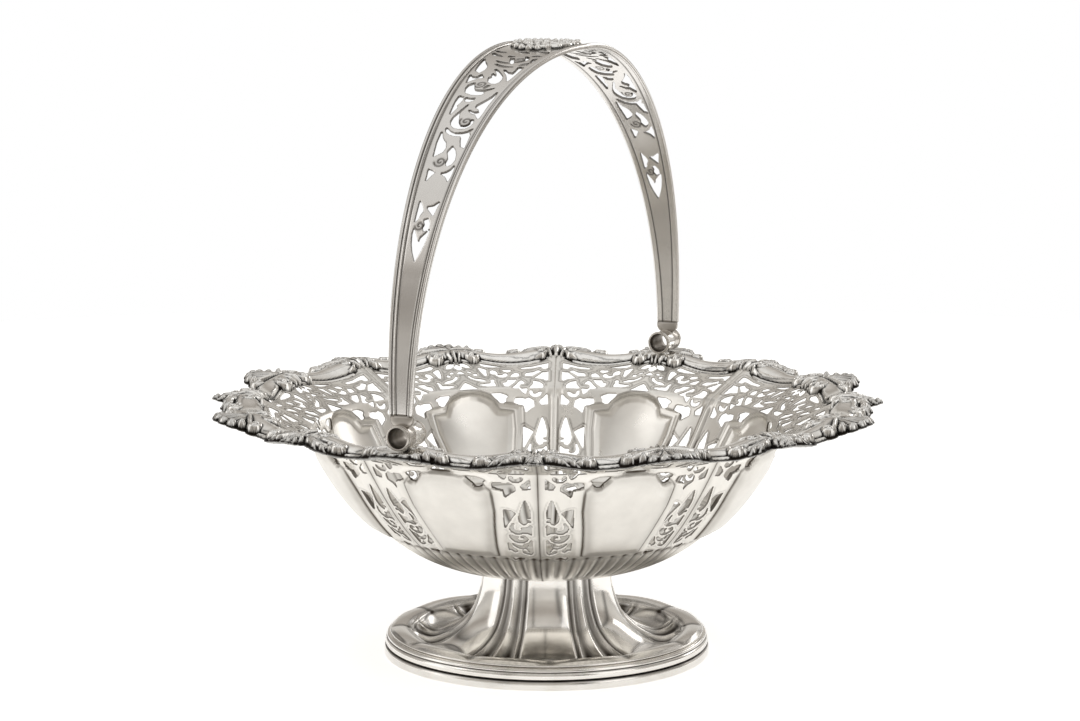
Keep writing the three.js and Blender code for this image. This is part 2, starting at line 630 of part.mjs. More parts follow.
place('handle_bow', bowSolid(), handleSilver);
place('handle_edge_wire_left', edgeWireSolid(-1), handleSilver);
place('handle_edge_wire_right', edgeWireSolid(1), handleSilver);
place('handle_crest', crestSolid(), castSilver);

export default basket;
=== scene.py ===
# %% [markdown]
# # A pierced silver basket
# The object is a round cake basket: a trumpet foot, a raised bowl whose upper wall is cut with a saw into scrollwork,
# a cast border of scrolls and shells, and a handle that swings on two hinges. A silversmith makes each of these as a
# piece of its own and solders them together, so the scene makes them one by one too. The CAD model is loaded first;
# each piece made here hides the CAD parts that it stands for.

# %% Load the frame
import math

import bpy
import numpy as np
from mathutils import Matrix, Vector


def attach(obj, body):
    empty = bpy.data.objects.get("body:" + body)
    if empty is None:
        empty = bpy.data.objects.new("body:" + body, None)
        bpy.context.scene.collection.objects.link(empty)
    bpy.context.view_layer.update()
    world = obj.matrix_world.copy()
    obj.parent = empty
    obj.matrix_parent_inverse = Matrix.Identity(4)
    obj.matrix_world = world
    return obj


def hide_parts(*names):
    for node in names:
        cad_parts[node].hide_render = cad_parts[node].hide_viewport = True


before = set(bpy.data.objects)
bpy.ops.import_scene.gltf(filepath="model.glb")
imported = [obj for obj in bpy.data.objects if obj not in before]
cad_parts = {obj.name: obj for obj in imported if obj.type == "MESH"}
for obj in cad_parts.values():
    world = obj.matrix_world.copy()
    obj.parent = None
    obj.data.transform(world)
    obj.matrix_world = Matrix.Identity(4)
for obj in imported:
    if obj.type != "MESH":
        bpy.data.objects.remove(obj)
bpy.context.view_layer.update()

# %% [markdown]
# ## Sizes and places
# The CAD model works in millimetres, and so do all the formulas below; a mesh is turned to metres when it is built.
# An angle is counted from +Y towards +X, as on the CAD model: the eight plain panels of the bowl stand at every 45
# degrees from +Y, and the eight ribs and border knots halfway between them.

# %% Sizes and places
LOBES = 8
LOBE_ANGLE = 360 / LOBES
HALF_LOBE = LOBE_ANGLE / 2
STEM_RADIUS, FOOT_HEIGHT = 28.0, 38.2
SHOULDER_RADIUS, SHOULDER_Z = 103.5, 98.8
RIM_RADIUS, RIM_Z = 126.0, 110.0
BORDER_INNER_RADIUS, BORDER_SAG = 126.3, 2.6
HINGE_RADIUS, HINGE_Z = 134.05, 118.4
KNUCKLE_MIDDLE, BOW_START_Z, BOW_TOP_Z = 137.45, 126.95, 264.4
BOWL_WALL = 0.9
SIDES = {"back": 1, "front": -1}
print("stem", STEM_RADIUS, "shoulder", SHOULDER_RADIUS, "rim", RIM_RADIUS, "mm from the axis")

# %% [markdown]
# Three small functions are used all through the lesson. Smoothstep makes a soft step, such as a panel's edge. Bell
# makes a soft line, such as a groove or the tarnish in it. Polar puts an angle and a radius in the basket's frame.

# %% Steps, lines and angles
def smoothstep(value, low, high):
    """0 below low, 1 above high, and 3t^2 - 2t^3 between them."""
    t = np.clip((value - low) / (high - low), 0, 1)
    return t * t * (3 - 2 * t)


def bell(distance, width):
    """1 where the distance is 0, falling to nothing over about two widths: e^-(distance / width)^2."""
    return np.exp(-(distance / width) ** 2)


def polar(radius, degrees, z):
    """Points at a radius and an angle from +Y towards +X: (r sin a, r cos a, z)."""
    a = np.radians(degrees)
    r, a, z = np.broadcast_arrays(np.asarray(radius, float), a, np.asarray(z, float))
    return np.stack([r * np.sin(a), r * np.cos(a), z], -1)


def from_axis(degrees, step=LOBE_ANGLE):
    """The angle from the nearest of the axes that stand every step degrees."""
    return degrees - step * np.round(degrees / step)


print("50 degrees lie", from_axis(50.0), "degrees from the nearest panel's axis")

# %% [markdown]
# ## From numbers to meshes
# Every piece is a surface worked out with numpy: a grid of points over two parameters, given as one array. A mesh
# could be built face by face with bmesh, but these surfaces have up to 90,000 points, and whole arrays reach Blender
# in one go. The helpers here join the points of a grid into four-sided faces and put closed surfaces together.

# %% Faces of a grid
def grid_faces(rows, columns, wrap=False):
    """Four-sided faces of a grid of points; with wrap the last column meets the first."""
    index = np.arange(rows * columns).reshape(rows, columns)
    if wrap:
        index = np.concatenate([index, index[:, :1]], 1)
    return np.stack([index[:-1, :-1], index[:-1, 1:], index[1:, 1:], index[1:, :-1]], -1).reshape(-1, 4)


def round_faces(rows, columns):
    """Faces of a closed profile carried all the way round: the last column meets the first, and the last row too."""
    index = np.pad(np.arange(rows * columns).reshape(rows, columns), (0, 1), mode="wrap")
    return np.stack([index[:-1, :-1], index[1:, :-1], index[1:, 1:], index[:-1, 1:]], -1).reshape(-1, 4)


def closed_tube(rings, shade=0.0):
    """A surface through rings of points (rings, points, 3), closed by a fan at each end, as points, faces, shade.
    Each ring's points are joined to the next ring's; an extra point in the middle of the end rings closes them."""
    rows, columns = rings.shape[:2]
    points = np.concatenate([rings.reshape(-1, 3), rings[0].mean(0)[None], rings[-1].mean(0)[None]])
    ring = np.arange(columns)
    after = np.roll(ring, -1)
    last = (rows - 1) * columns
    low = np.stack([after, ring, np.full(columns, rows * columns), np.full(columns, -1)], -1)
    high = np.stack([last + ring, last + after, np.full(columns, rows * columns + 1), np.full(columns, -1)], -1)
    faces = np.concatenate([grid_faces(rows, columns, wrap=True), low, high])
    dark = np.broadcast_to(shade, (rows, columns))
    dark = np.concatenate([dark.reshape(-1), [dark[0].mean()], [dark[-1].mean()]])
    return points, faces, dark


print("3 x 4 points have", len(grid_faces(3, 4)), "faces when flat and", len(round_faces(3, 4)), "when closed")

# %% [markdown]
# A renderer and a printer both need faces that point outwards. The sign of the volume that the faces enclose tells
# whether they do, so each closed surface is turned over when its volume comes out negative.

# %% Faces that point outwards
def flip(faces):
    """The same faces, pointing the other way; a triangle keeps its -1 in the last place."""
    three = faces[:, 3] < 0
    turned = faces[:, ::-1].copy()
    turned[three] = np.stack([faces[three, 2], faces[three, 1], faces[three, 0], faces[three, 3]], -1)
    return turned


def volume_inside(points, faces):
    """The volume in closed faces: the sum over their triangles of a . (b x c) / 6. It is negative when the faces
    point inwards."""
    a, b, c = (points[faces[:, k]] for k in range(3))
    total = (a * np.cross(b, c)).sum()
    four = faces[:, 3] >= 0
    d = points[faces[four, 3]]
    return float(total + (a[four] * np.cross(c[four], d)).sum()) / 6


def facing_out(points, faces):
    """The faces of a closed surface, turned over if they point inwards."""
    return faces if volume_inside(points, faces) > 0 else flip(faces)


def join(surfaces):
    """Several closed (points, faces, shade) surfaces as one, each facing outwards."""
    surfaces = [(p, facing_out(p, f), dark) for p, f, dark in surfaces]
    starts = np.cumsum([0] + [len(p) for p, _, _ in surfaces])
    faces = [np.where(f < 0, -1, f + start) for (_, f, _), start in zip(surfaces, starts)]
    return np.concatenate([s[0] for s in surfaces]), np.concatenate(faces), np.concatenate([s[2] for s in surfaces])


CORNER = np.array([(0, 0, 0), (1, 0, 0), (0, 1, 0), (0, 0, 1)], float)
CORNER_FACES = np.array([(0, 2, 1, -1), (0, 1, 3, -1), (0, 3, 2, -1), (1, 2, 3, -1)])
print("a corner of a cube holds", round(volume_inside(CORNER, CORNER_FACES), 3), "of it")

# %% [markdown]
# The last helper hands the arrays to Blender. It turns millimetres to metres, keeps the object at the origin with
# its place in its mesh, stores the tarnish and painted shade on the points, parents the piece to an empty for the
# body that it rides on, and hides the CAD parts that it stands for.

# %% Building a piece
def make_piece(name, surface, material, body, replaces, flat_faces=None):
    """Builds the mesh in metres at the origin, gives it its metal, and lets it ride on its body."""
    points, faces, shade = surface
    faces = facing_out(points, faces)
    used = faces >= 0
    counts = used.sum(1)
    mesh = bpy.data.meshes.new(name)
    mesh.vertices.add(len(points))
    mesh.vertices.foreach_set("co", (points * 0.001).astype(np.float32).ravel())
    mesh.loops.add(int(counts.sum()))
    mesh.loops.foreach_set("vertex_index", faces[used].astype(np.int32))
    mesh.polygons.add(len(faces))
    mesh.polygons.foreach_set("loop_start", (np.cumsum(counts) - counts).astype(np.int32))
    mesh.polygons.foreach_set("loop_total", counts.astype(np.int32))
    mesh.update(calc_edges=True)
    smooth = np.ones(len(faces), bool) if flat_faces is None else ~flat_faces
    mesh.polygons.foreach_set("use_smooth", smooth)
    # The attribute holds tarnish and painted shade: oxide, and the shade of recesses, creases, cut walls and
    # undersides painted in as darkness.
    tarnish_and_shade = mesh.attributes.new("tarnish_and_shade", "FLOAT", "POINT")
    tarnish_and_shade.data.foreach_set("value", shade.astype(np.float32))
    mesh.materials.append(material)
    mesh.validate()
    piece = bpy.data.objects.new(name, mesh)
    bpy.context.scene.collection.objects.link(piece)
    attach(piece, body)
    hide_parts(*replaces)
    print(f"{name}: {int((counts - 2).sum())} triangles, {volume_inside(points, faces) / 1000:.2f} cm3 of silver")


# %% [markdown]
# ## Silver
# All pieces are sterling silver, so one recipe serves them all: a full metal with a warm pale colour. What differs
# is how each surface was made. Raised and polished sheet keeps a soft bloom, castings keep tarnish in their
# recesses, and no cloth reaches a tube's bore. Recesses, creases, cut walls and undersides also lie in shade, and
# that shade is painted into the colour too. The shader could find recesses by itself with ambient occlusion, but
# that misses chased lines and slows the render. So each piece carries its own attribute of tarnish and painted
# shade, which is worked out together with its shape, because the recesses are known there.

# %% Colour and nodes
def to_linear(hex_colour):
    """An sRGB colour written as hex, as linear red, green, blue and alpha."""
    parts = [int(hex_colour[i:i + 2], 16) / 255 for i in (1, 3, 5)]
    return [v / 12.92 if v <= 0.04045 else ((v + 0.055) / 1.055) ** 2.4 for v in parts] + [1.0]


def add_node(material, kind, settings=None, inputs=None, links=None):
    """Adds a node: settings are its own properties, inputs its socket values, links {socket: (node, output)}."""
    node = material.node_tree.nodes.new(kind)
    for key, value in (settings or {}).items():
        setattr(node, key, value)
    for key, value in (inputs or {}).items():
        node.inputs[key].default_value = value
    for key, (source, output) in (links or {}).items():
        material.node_tree.links.new(source.outputs[output], node.inputs[key])
    return node


print("middle grey as linear light:", round(to_linear("#808080")[0], 3))

# %% [markdown]
# The recipe mixes two colours, bright metal and dark, by the attribute of tarnish and painted shade plus faint
# clouds of wear. Tarnish is also duller than metal, so the same sum raises the roughness, where shade is painted
# too. Real polishing marks are a few hundredths of a millimetre wide and would not show, so they are drawn as the
# finest bumps that do, about 1 mm apart.

# %% The silver recipe
def silver(name, bright, dark, roughness, cloud_mm=9.0, marks_mm=1.0, bump=0.02, wear=0.08, haze=0.3):
    """Polished silver: its colour runs from bright to dark with the attribute of oxide and painted shade, its
    roughness rises by haze with it, and the clouds and marks have the given sizes in mm."""
    material = bpy.data.materials.new(name)
    material.use_nodes = True
    shader = material.node_tree.nodes["Principled BSDF"]
    place = add_node(material, "ShaderNodeTexCoord")
    clouds = add_node(material, "ShaderNodeTexNoise", inputs={"Scale": 1000 / cloud_mm, "Detail": 3.0},
                      links={"Vector": (place, "Object")})
    tarnish_and_shade = add_node(material, "ShaderNodeAttribute", {"attribute_name": "tarnish_and_shade"})
    spread = add_node(material, "ShaderNodeMapRange", inputs={"From Min": 0.3, "From Max": 0.75, "To Max": wear},
                      links={"Value": (clouds, "Fac")})
    total = add_node(material, "ShaderNodeMath", {"operation": "ADD", "use_clamp": True},
                     links={0: (tarnish_and_shade, "Fac"), 1: (spread, "Result")})
    colour = add_node(material, "ShaderNodeMix", {"data_type": "RGBA"}, {6: to_linear(bright), 7: to_linear(dark)},
                      links={0: (total, "Value")})
    rough = add_node(material, "ShaderNodeMapRange", inputs={"To Min": roughness, "To Max": roughness + haze},
                     links={"Value": (total, "Value")})
    marks = add_node(material, "ShaderNodeTexNoise", inputs={"Scale": 1000 / marks_mm, "Detail": 2.0},
                     links={"Vector": (place, "Object")})
    relief = add_node(material, "ShaderNodeBump", inputs={"Strength": bump, "Distance": 0.0005},
                      links={"Height": (marks, "Fac")})
    shader.inputs["Metallic"].default_value = 1.0
    for socket, (node, output) in {"Base Color": (colour, 2), "Roughness": (rough, "Result"),
                                   "Normal": (relief, "Normal")}.items():
        material.node_tree.links.new(node.outputs[output], shader.inputs[socket])
    return material


# Raised sheet: bright, softened by years of hand polishing, so reflections are blurred.
sheet_silver = silver("raised_silver_sheet", "#F2EFE9", "#4F463C", 0.27, wear=0.1)
# The foot's sheet is the same silver, buffed brighter; its flutes are painted dark with brown tarnish and shade:
# sharp light and dark bands.
foot_silver = silver("foot_silver_sheet", "#F6F3EE", "#352D25", 0.13, wear=0.12)
# The handle's strip is rolled flat and handled most: even and a little greyer.
strip_silver = silver("rolled_silver_strip", "#E2DFDB", "#443E37", 0.18)
# Castings are chased and burnished: sparkling high points between recesses painted nearly black with tarnish and
# shade, and an uneven skin.
cast_silver = silver("cast_chased_silver", "#F8F6F2", "#1C1814", 0.1, cloud_mm=3.0, marks_mm=2.8, bump=0.14,
                     wear=0.16, haze=0.16)
# The hinge's tube is drawn through a plate: smooth outside, and brown-grey in its bore, which no cloth reaches.
tube_silver = silver("drawn_silver_tube", "#CFCAC3", "#6E665C", 0.2, cloud_mm=5.0, wear=0.3)
print("materials:", [m.name for m in bpy.data.materials])

# %% [markdown]
# ## Surfaces made from a profile
# A spun or raised form is a profile of radius and height carried round the axis. Blender's Screw modifier does the
# same, but here the points stay known, so that panels and flutes can be pressed in by a formula of the angle and the
# distance along the profile. The profile itself is a smooth curve through a few measured points.

# %% Smooth lines
def smooth_line(points, count, closed=False):
    """A smooth curve through points, as count points: between b and c a cubic leaves b along c - a and reaches c
    along d - b, where a and d are the points before and after."""
    p = np.asarray(points, float)
    if closed:
        p = np.concatenate([p[-1:], p, p[:2]])
    else:
        p = np.concatenate([2 * p[:1] - p[1:2], p, 2 * p[-1:] - p[-2:-1]])
    spans = len(p) - 3
    t = np.linspace(0, spans, count, endpoint=not closed)
    i = np.minimum(t.astype(int), spans - 1)
    u = (t - i)[:, None]
    a, b, c, d = p[i], p[i + 1], p[i + 2], p[i + 3]
    return 0.5 * (2 * b + (c - a) * u + (2 * a - 5 * b + 4 * c - d) * u ** 2 + (3 * b - a - 3 * c + d) * u ** 3)


def along(line):
    """Distance along a line of points."""
    return np.concatenate([[0], np.cumsum(np.linalg.norm(np.diff(line, axis=0), axis=1))])


def resample(line, spots):
    """Points of a line at given distances along it."""
    length = along(line)
    return np.stack([np.interp(spots, length, line[:, k]) for k in range(line.shape[1])], -1)


def line_normals(line):
    """Unit normals of a flat line, to the right of its direction."""
    step = np.gradient(line, axis=0)
    step /= np.linalg.norm(step, axis=1)[:, None]
    return np.stack([step[:, 1], -step[:, 0]], -1)


print("a smooth line through 3 points, as 5:", smooth_line([(0, 0), (1, 1), (2, 0)], 5).round(2).tolist())

# %% Spun rings
def spun_ring(profile, shade, columns=288):
    """A closed profile carried round Z: point (r, z) goes to (r sin a, r cos a, z)."""
    angles = np.arange(columns) * 360 / columns
    points = polar(profile[:, 0][:, None], angles[None, :], profile[:, 1][:, None]).reshape(-1, 3)
    return points, round_faces(len(profile), columns), np.repeat(shade, columns)


print("a spun ring has 288 columns, one every", 360 / 288, "degrees")

# %% [markdown]
# ## The foot's two rings
# The basket stands on a plain skirt with a reeded wire moulding above it. Both are drawn wire, bent round and
# soldered. A bevelled curve could give them, but a closed profile carried round the axis also takes the darkness: a
# dark line in the crease between the reeds, painted shade where the reeded wire sits on the skirt, and a slightly
# darker tone all over.

# %% Base skirt and reed ring
skirt_profile = smooth_line([(67.1, 0), (70.9, 0), (71.35, 0.5), (71.3, 2.0), (71.05, 3.3), (70.3, 3.95),
                             (68.6, 4.0), (67.1, 4.0)], 36, closed=True)
skirt_profile[:, 1] = np.clip(skirt_profile[:, 1], 0, 4)
# Painted shade on the skirt's top edge, under the reeded wire.
skirt_shade = 0.12 + smoothstep(skirt_profile[:, 1], 3.1, 3.9) * 0.75
make_piece("base_skirt_ring", spun_ring(skirt_profile, skirt_shade), foot_silver, "basket",
           ["base_skirt"])

reed_profile = smooth_line([(67.1, 4.2), (69.6, 4.15), (70.5, 4.5), (70.85, 5.4), (70.75, 6.6), (70.3, 7.3),
                            (70.0, 7.6), (70.15, 8.0), (69.9, 8.7), (69.2, 9.0), (67.1, 9.0)], 52, closed=True)
CREASE_Z = 7.55
# A dark line in the crease between the reeds, and painted shade at the wire's foot, where it sits on the skirt.
reed_shade = (0.06 + bell(reed_profile[:, 1] - CREASE_Z, 0.22) * 0.9
              + (1 - smoothstep(reed_profile[:, 1], 4.2, 4.9)) * 0.8)
make_piece("base_reeded_wire", spun_ring(reed_profile, np.clip(reed_shade, 0, 1)), foot_silver, "basket",
           ["base_reed_ring"])

# %% [markdown]
# ## The pedestal
# One sheet is raised to a trumpet: a slim stem that spreads into a dished plate. Six wide plain panels alternate
# with six groups of flutes, each panel ends in an oval dish, and the plate's crest rises in twelve soft lobes. These
# could be sculpted, but then no two flutes would match as they do on a form that was chased over one pattern. So
# the relief is a formula of the angle from the nearest panel's axis and of the radius.

# %% The pedestal's relief
FOOT_PANELS, FOOT_PANEL_TURN = 6, 34.5
foot_line = smooth_line([(STEM_RADIUS, FOOT_HEIGHT), (28.5, 33), (29.3, 28.3), (31.4, 21.5), (34.8, 15.2),
                         (41.0, 9.6), (47.0, 6.6), (51.5, 5.8), (55.5, 7.2), (59.0, 9.7), (62.6, 11.3),
                         (66.2, 11.2), (68.7, 10.1)], 400)
foot_curve = resample(foot_line, np.linspace(0, along(foot_line)[-1], 115))
foot_out = -line_normals(foot_curve)


def foot_relief(angle, radius):
    """Height and darkness. A wide panel bulges by 0.5 (1 - t^2) across it. Between two panels lie two flutes, 1.0 to
    1.7 |sin|^1.2 deep, beside a groove and a ridge. A dish is 1.3 (1 - (x / a)^2 - (y / b)^2) deep, and the crest's
    lobes are |sin|^0.7 high, under a fine bead. The darkness is oxide and painted shade in the groove, the flutes,
    the dish and between the lobes, a painted shadow under the bead, a dark ring, and the plate a little darker
    overall."""
    turn = from_axis(angle - FOOT_PANEL_TURN, 360 / FOOT_PANELS)
    side = np.abs(turn)
    edge = 19.0 - 3.5 * smoothstep(radius, 30, 56)
    stem = 1 - smoothstep(radius, 55, 61.5)
    fluted = side > edge
    wave = np.abs(np.sin(np.pi * np.clip((side - edge) / (30 - edge), 0, 1))) ** 1.2
    flute = np.where(fluted, -wave * (1.0 + 0.7 * smoothstep(radius, 28, 40)), 0) * stem
    arc = (side - edge) * np.radians(1) * radius
    groove = bell(arc, 0.9) * stem
    edge_ridge = bell(arc - 1.5, 0.9) * stem
    bulge = 0.5 * (1 - np.clip(side / edge, 0, 1) ** 2) * stem
    dish = (side / (edge - 2)) ** 2 + ((radius - 52.5) / 6.5) ** 2
    hollow = np.clip(1 - dish, 0, 1)
    crest = smoothstep(radius, 54, 61) * (1 - smoothstep(radius, 66.5, 68.6))
    lobes = np.abs(np.sin(np.radians(6 * turn))) ** 0.7 - 0.55
    crest_line = radius - 59.2 + 1.0 * lobes
    bead, dip_and_shadow_under_bead = bell(crest_line, 0.45), bell(crest_line + 1.0, 0.5)
    height = (flute - 0.8 * groove + 0.5 * edge_ridge + bulge - 1.3 * hollow + 0.9 * crest * lobes
              + 0.45 * bead - 0.2 * dip_and_shadow_under_bead)
    between_lobes = bell(np.sin(np.radians(6 * turn)), 0.16)
    dish_rim = bell(dish - 1, 0.22) * (radius > 44)
    # Oxide and painted shade in the groove, the flutes, the dish and between the crest's lobes, and a painted shadow
    # under the bead; the return adds a dark ring at 60.5 mm and makes the plate a little darker overall.
    dark = (0.9 * groove + (0.75 + 0.3 * smoothstep(radius, 38, 48)) * wave ** 2 * fluted * stem
            + 0.6 * crest * between_lobes + 0.5 * dish_rim + 0.4 * hollow ** 2 + 0.25 * dip_and_shadow_under_bead)
    return height, np.clip(dark + 0.35 * bell(radius - 60.5, 0.7) + 0.1 * smoothstep(radius, 42, 50), 0, 1)


foot_angles = np.arange(384) * 360 / 384
foot_height, foot_dark = foot_relief(foot_angles[None, :], foot_curve[:, 0][:, None])
print("the foot's relief runs from", foot_height.min().round(2), "to", foot_height.max().round(2), "mm")

# %% [markdown]
# The sheet has two faces, 1 mm apart. The rows of the upper face and, backwards, those of the lower face make one
# closed profile at every angle, so the same grid closes the sheet at the stem and at its edge.

# %% Foot pedestal
def foot_layer(height):
    """The foot's sheet at a height over its profile, along the profile's own normal."""
    r = foot_curve[:, 0][:, None] + foot_out[:, 0][:, None] * height
    return polar(r, foot_angles[None, :], foot_curve[:, 1][:, None] + foot_out[:, 1][:, None] * height)


foot_rings = np.concatenate([foot_layer(foot_height), foot_layer(foot_height - 1.0)[::-1]])
foot_shade = np.concatenate([foot_dark, 0.35 + 0.3 * foot_dark[::-1]]).ravel()
make_piece("trumpet_foot", (foot_rings.reshape(-1, 3), round_faces(*foot_rings.shape[:2]), foot_shade),
           foot_silver, "basket", ["foot_pedestal"])

# %% [markdown]
# ## Piercing
# The bowl's upper wall and the handle are pierced: the silversmith drills a hole in the sheet and saws round the
# drawn outline. Here each outline is a closed curve. It is turned into a field that tells, at every point of a grid,
# how far that point is from the nearest outline: positive in the metal, negative in an opening. The grid's cells are
# split in triangles and each one that the line of zero crosses is cut exactly there, so an outline stays smooth
# although the grid is coarse. The cut sheet then gets its second face and the little walls that show as dark edges.

# %% Distance to outlines and to lines
def outline_distance(x, y, outline):
    """Distance of points to a closed outline, negative inside. The distance is the least one to its segments, and a
    point is inside when a ray from it crosses the outline an odd number of times."""
    a, b = outline, np.roll(outline, -1, 0)
    e = b - a
    px, py = x[:, None] - a[:, 0], y[:, None] - a[:, 1]
    t = np.clip((px * e[:, 0] + py * e[:, 1]) / np.maximum((e ** 2).sum(1), 1e-12), 0, 1)
    d = np.hypot(px - t * e[:, 0], py - t * e[:, 1]).min(1)
    straddles = (a[:, 1] > y[:, None]) != (b[:, 1] > y[:, None])
    with np.errstate(divide="ignore", invalid="ignore"):
        cross = px < (y[:, None] - a[:, 1]) * e[:, 0] / e[:, 1]
    inside = (straddles & cross).sum(1) % 2 == 1
    return np.where(inside, -d, d)


def line_distance(x, y, line, reach):
    """Distance of grid points to an open line and the share along it of the nearest point; far points give reach."""
    d = np.full(x.shape, float(reach))
    share = np.zeros(x.shape)
    near = ((x > line[:, 0].min() - reach) & (x < line[:, 0].max() + reach)
            & (y > line[:, 1].min() - reach) & (y < line[:, 1].max() + reach))
    a, e = line[:-1], np.diff(line, axis=0)
    length = along(line)
    px, py = x[near][:, None] - a[:, 0], y[near][:, None] - a[:, 1]
    t = np.clip((px * e[:, 0] + py * e[:, 1]) / np.maximum((e ** 2).sum(1), 1e-12), 0, 1)
    all_d = np.hypot(px - t * e[:, 0], py - t * e[:, 1])
    best = all_d.argmin(1)
    pick = np.arange(len(best))
    d[near] = all_d[pick, best]
    share[near] = (length[best] + t[pick, best] * np.diff(length)[best]) / length[-1]
    return np.minimum(d, reach), share


def pierced_field(x, y, outlines, reach=3.0):
    """The least distance to all the openings' outlines, negative inside one, worked out near each outline only."""
    field = np.full(x.shape, reach)
    for outline in outlines:
        near = ((x > outline[:, 0].min() - reach) & (x < outline[:, 0].max() + reach)
                & (y > outline[:, 1].min() - reach) & (y < outline[:, 1].max() + reach))
        field[near] = np.minimum(field[near], outline_distance(x[near], y[near], outline))
    return field


SQUARE = np.array([(0, 0), (10, 0), (10, 10), (0, 10)], float)
print("1 mm inside a square's edge the distance is", outline_distance(np.array([1.0]), np.array([5.0]), SQUARE)[0])

# %% [markdown]
# Blender's Boolean modifier could saw the openings too, but it fails where outlines almost touch and leaves long thin
# faces that show in a polished surface. Cutting the grid's own triangles keeps them all about equal.

# %% Cutting a sheet along the line of zero
def cut_grid(u, v, field):
    """Keeps the part of a grid where field > 0. Returns the parameters of the kept points and their triangles.
    A triangle with corners on both sides is cut where the field, taken as straight along each edge, is zero."""
    rows, columns = field.shape
    f = np.where(np.abs(field) < 0.03, 0.03, field).ravel()
    index = np.arange(rows * columns).reshape(rows, columns)
    a, b, c, d = index[:-1, :-1], index[:-1, 1:], index[1:, 1:], index[1:, :-1]
    even = (np.add.outer(np.arange(rows - 1), np.arange(columns - 1)) % 2 == 0)[..., None]
    first = np.where(even, np.stack([a, b, c], -1), np.stack([a, b, d], -1)).reshape(-1, 3)
    second = np.where(even, np.stack([a, c, d], -1), np.stack([b, c, d], -1)).reshape(-1, 3)
    triangles = np.concatenate([first, second])
    kept = f[triangles] > 0
    count = kept.sum(1)
    whole = triangles[count == 3]

    def odd_first(corners, odd):
        """Turns each triangle so that its odd corner comes first."""
        return np.take_along_axis(corners, (odd.argmax(1)[:, None] + np.arange(3)) % 3, 1)

    # A triangle with one corner in the metal keeps a smaller triangle, one with two corners keeps two triangles.
    one = odd_first(triangles[count == 1], kept[count == 1])
    two = odd_first(triangles[count == 2], ~kept[count == 2])
    edges = np.concatenate([one[:, [0, 1]], one[:, [0, 2]], two[:, [0, 1]], two[:, [0, 2]]])
    keys, where = np.unique(np.sort(edges, 1), axis=0, return_inverse=True)
    where = where.reshape(-1)
    t = f[keys[:, 0]] / (f[keys[:, 0]] - f[keys[:, 1]])
    uv = np.stack([u.ravel(), v.ravel()], -1)
    cut = uv[keys[:, 0]] * (1 - t)[:, None] + uv[keys[:, 1]] * t[:, None]
    one_a, one_b, two_a, two_b = np.split(where + rows * columns, np.cumsum([len(one), len(one), len(two)]))
    faces = np.concatenate([whole, np.stack([one[:, 0], one_a, one_b], -1),
                            np.stack([two_a, two[:, 1], two[:, 2]], -1), np.stack([two_a, two[:, 2], two_b], -1)])
    uv = np.concatenate([uv, cut])
    on_cut = np.concatenate([np.zeros(rows * columns, bool), np.ones(len(cut), bool)])
    used, faces = np.unique(faces, return_inverse=True)
    return uv[used], faces.reshape(-1, 3), on_cut[used]


def on_grid(values, grid_u, grid_v, uv):
    """Values of a grid at points between its nodes, by straight mixing of the four nodes around each."""
    rows, columns = values.shape
    c = np.interp(uv[:, 0], grid_u[0], np.arange(columns))
    r = np.interp(uv[:, 1], grid_v[:, 0], np.arange(rows))
    c0, r0 = np.clip(c.astype(int), 0, columns - 2), np.clip(r.astype(int), 0, rows - 2)
    fc, fr = c - c0, r - r0
    return ((values[r0, c0] * (1 - fc) + values[r0, c0 + 1] * fc) * (1 - fr)
            + (values[r0 + 1, c0] * (1 - fc) + values[r0 + 1, c0 + 1] * fc) * fr)


def sheet_solid(faces, top, bottom, shade_top, shade_bottom):
    """A closed sheet from cut triangles and the two positions of every point. Edges that one triangle alone uses
    are the rims; each gets a wall from the top point to the bottom one. Also returns which faces are walls."""
    count = len(top)
    edges = np.concatenate([faces[:, [0, 1]], faces[:, [1, 2]], faces[:, [2, 0]]])
    code = edges[:, 0] * np.int64(count) + edges[:, 1]
    back = edges[:, 1] * np.int64(count) + edges[:, 0]
    rim = edges[~np.isin(code, back)]
    walls = np.stack([rim[:, 1], rim[:, 0], rim[:, 0] + count, rim[:, 1] + count], -1)
    three = np.full((len(faces), 1), -1)
    all_faces = np.concatenate([np.hstack([faces, three]), np.hstack([faces[:, ::-1] + count, three]), walls])
    is_wall = np.arange(len(all_faces)) >= 2 * len(faces)
    return np.concatenate([top, bottom]), all_faces, np.concatenate([shade_top, shade_bottom]), is_wall


test_x, test_y = np.meshgrid(np.linspace(-2, 2, 9), np.linspace(-2, 2, 9))
_, test_faces, test_cut = cut_grid(test_x, test_y, np.hypot(test_x, test_y) - 1)
print("a square with a round hole:", len(test_faces), "triangles and", int(test_cut.sum()), "points on the cut")

# %% [markdown]
# ## The bowl
# The bowl is raised from one disc of sheet silver. Its lower wall carries eight plain panels, pressed out in steps
# with moulded edges and a round-topped hump; narrow half-round ribs stand between them, and the sheet between panel
# and rib and the whole flared band above are pierced. All eight lobes are alike, so one is worked out as a function
# of the angle from its axis and the distance along the profile from the shoulder, and it is turned eight times.

# %% The bowl's profile
t = np.linspace(0, 1, 800)[:, None]
wall_line = ((1 - t) ** 3 * [28.0, 38.5] + 3 * t * (1 - t) ** 2 * [65.75, 40.0]
             + 3 * t ** 2 * (1 - t) * [84.0, 66.1] + t ** 3 * [SHOULDER_RADIUS, SHOULDER_Z])
band_line = np.linspace([SHOULDER_RADIUS, SHOULDER_Z], [RIM_RADIUS, RIM_Z], 200)[1:]
WALL_LENGTH, BAND_LENGTH = along(wall_line)[-1], along(band_line)[-1]
bowl_length = np.linspace(0, WALL_LENGTH + BAND_LENGTH, 1600)
bowl_line = resample(np.concatenate([wall_line, band_line]), bowl_length)
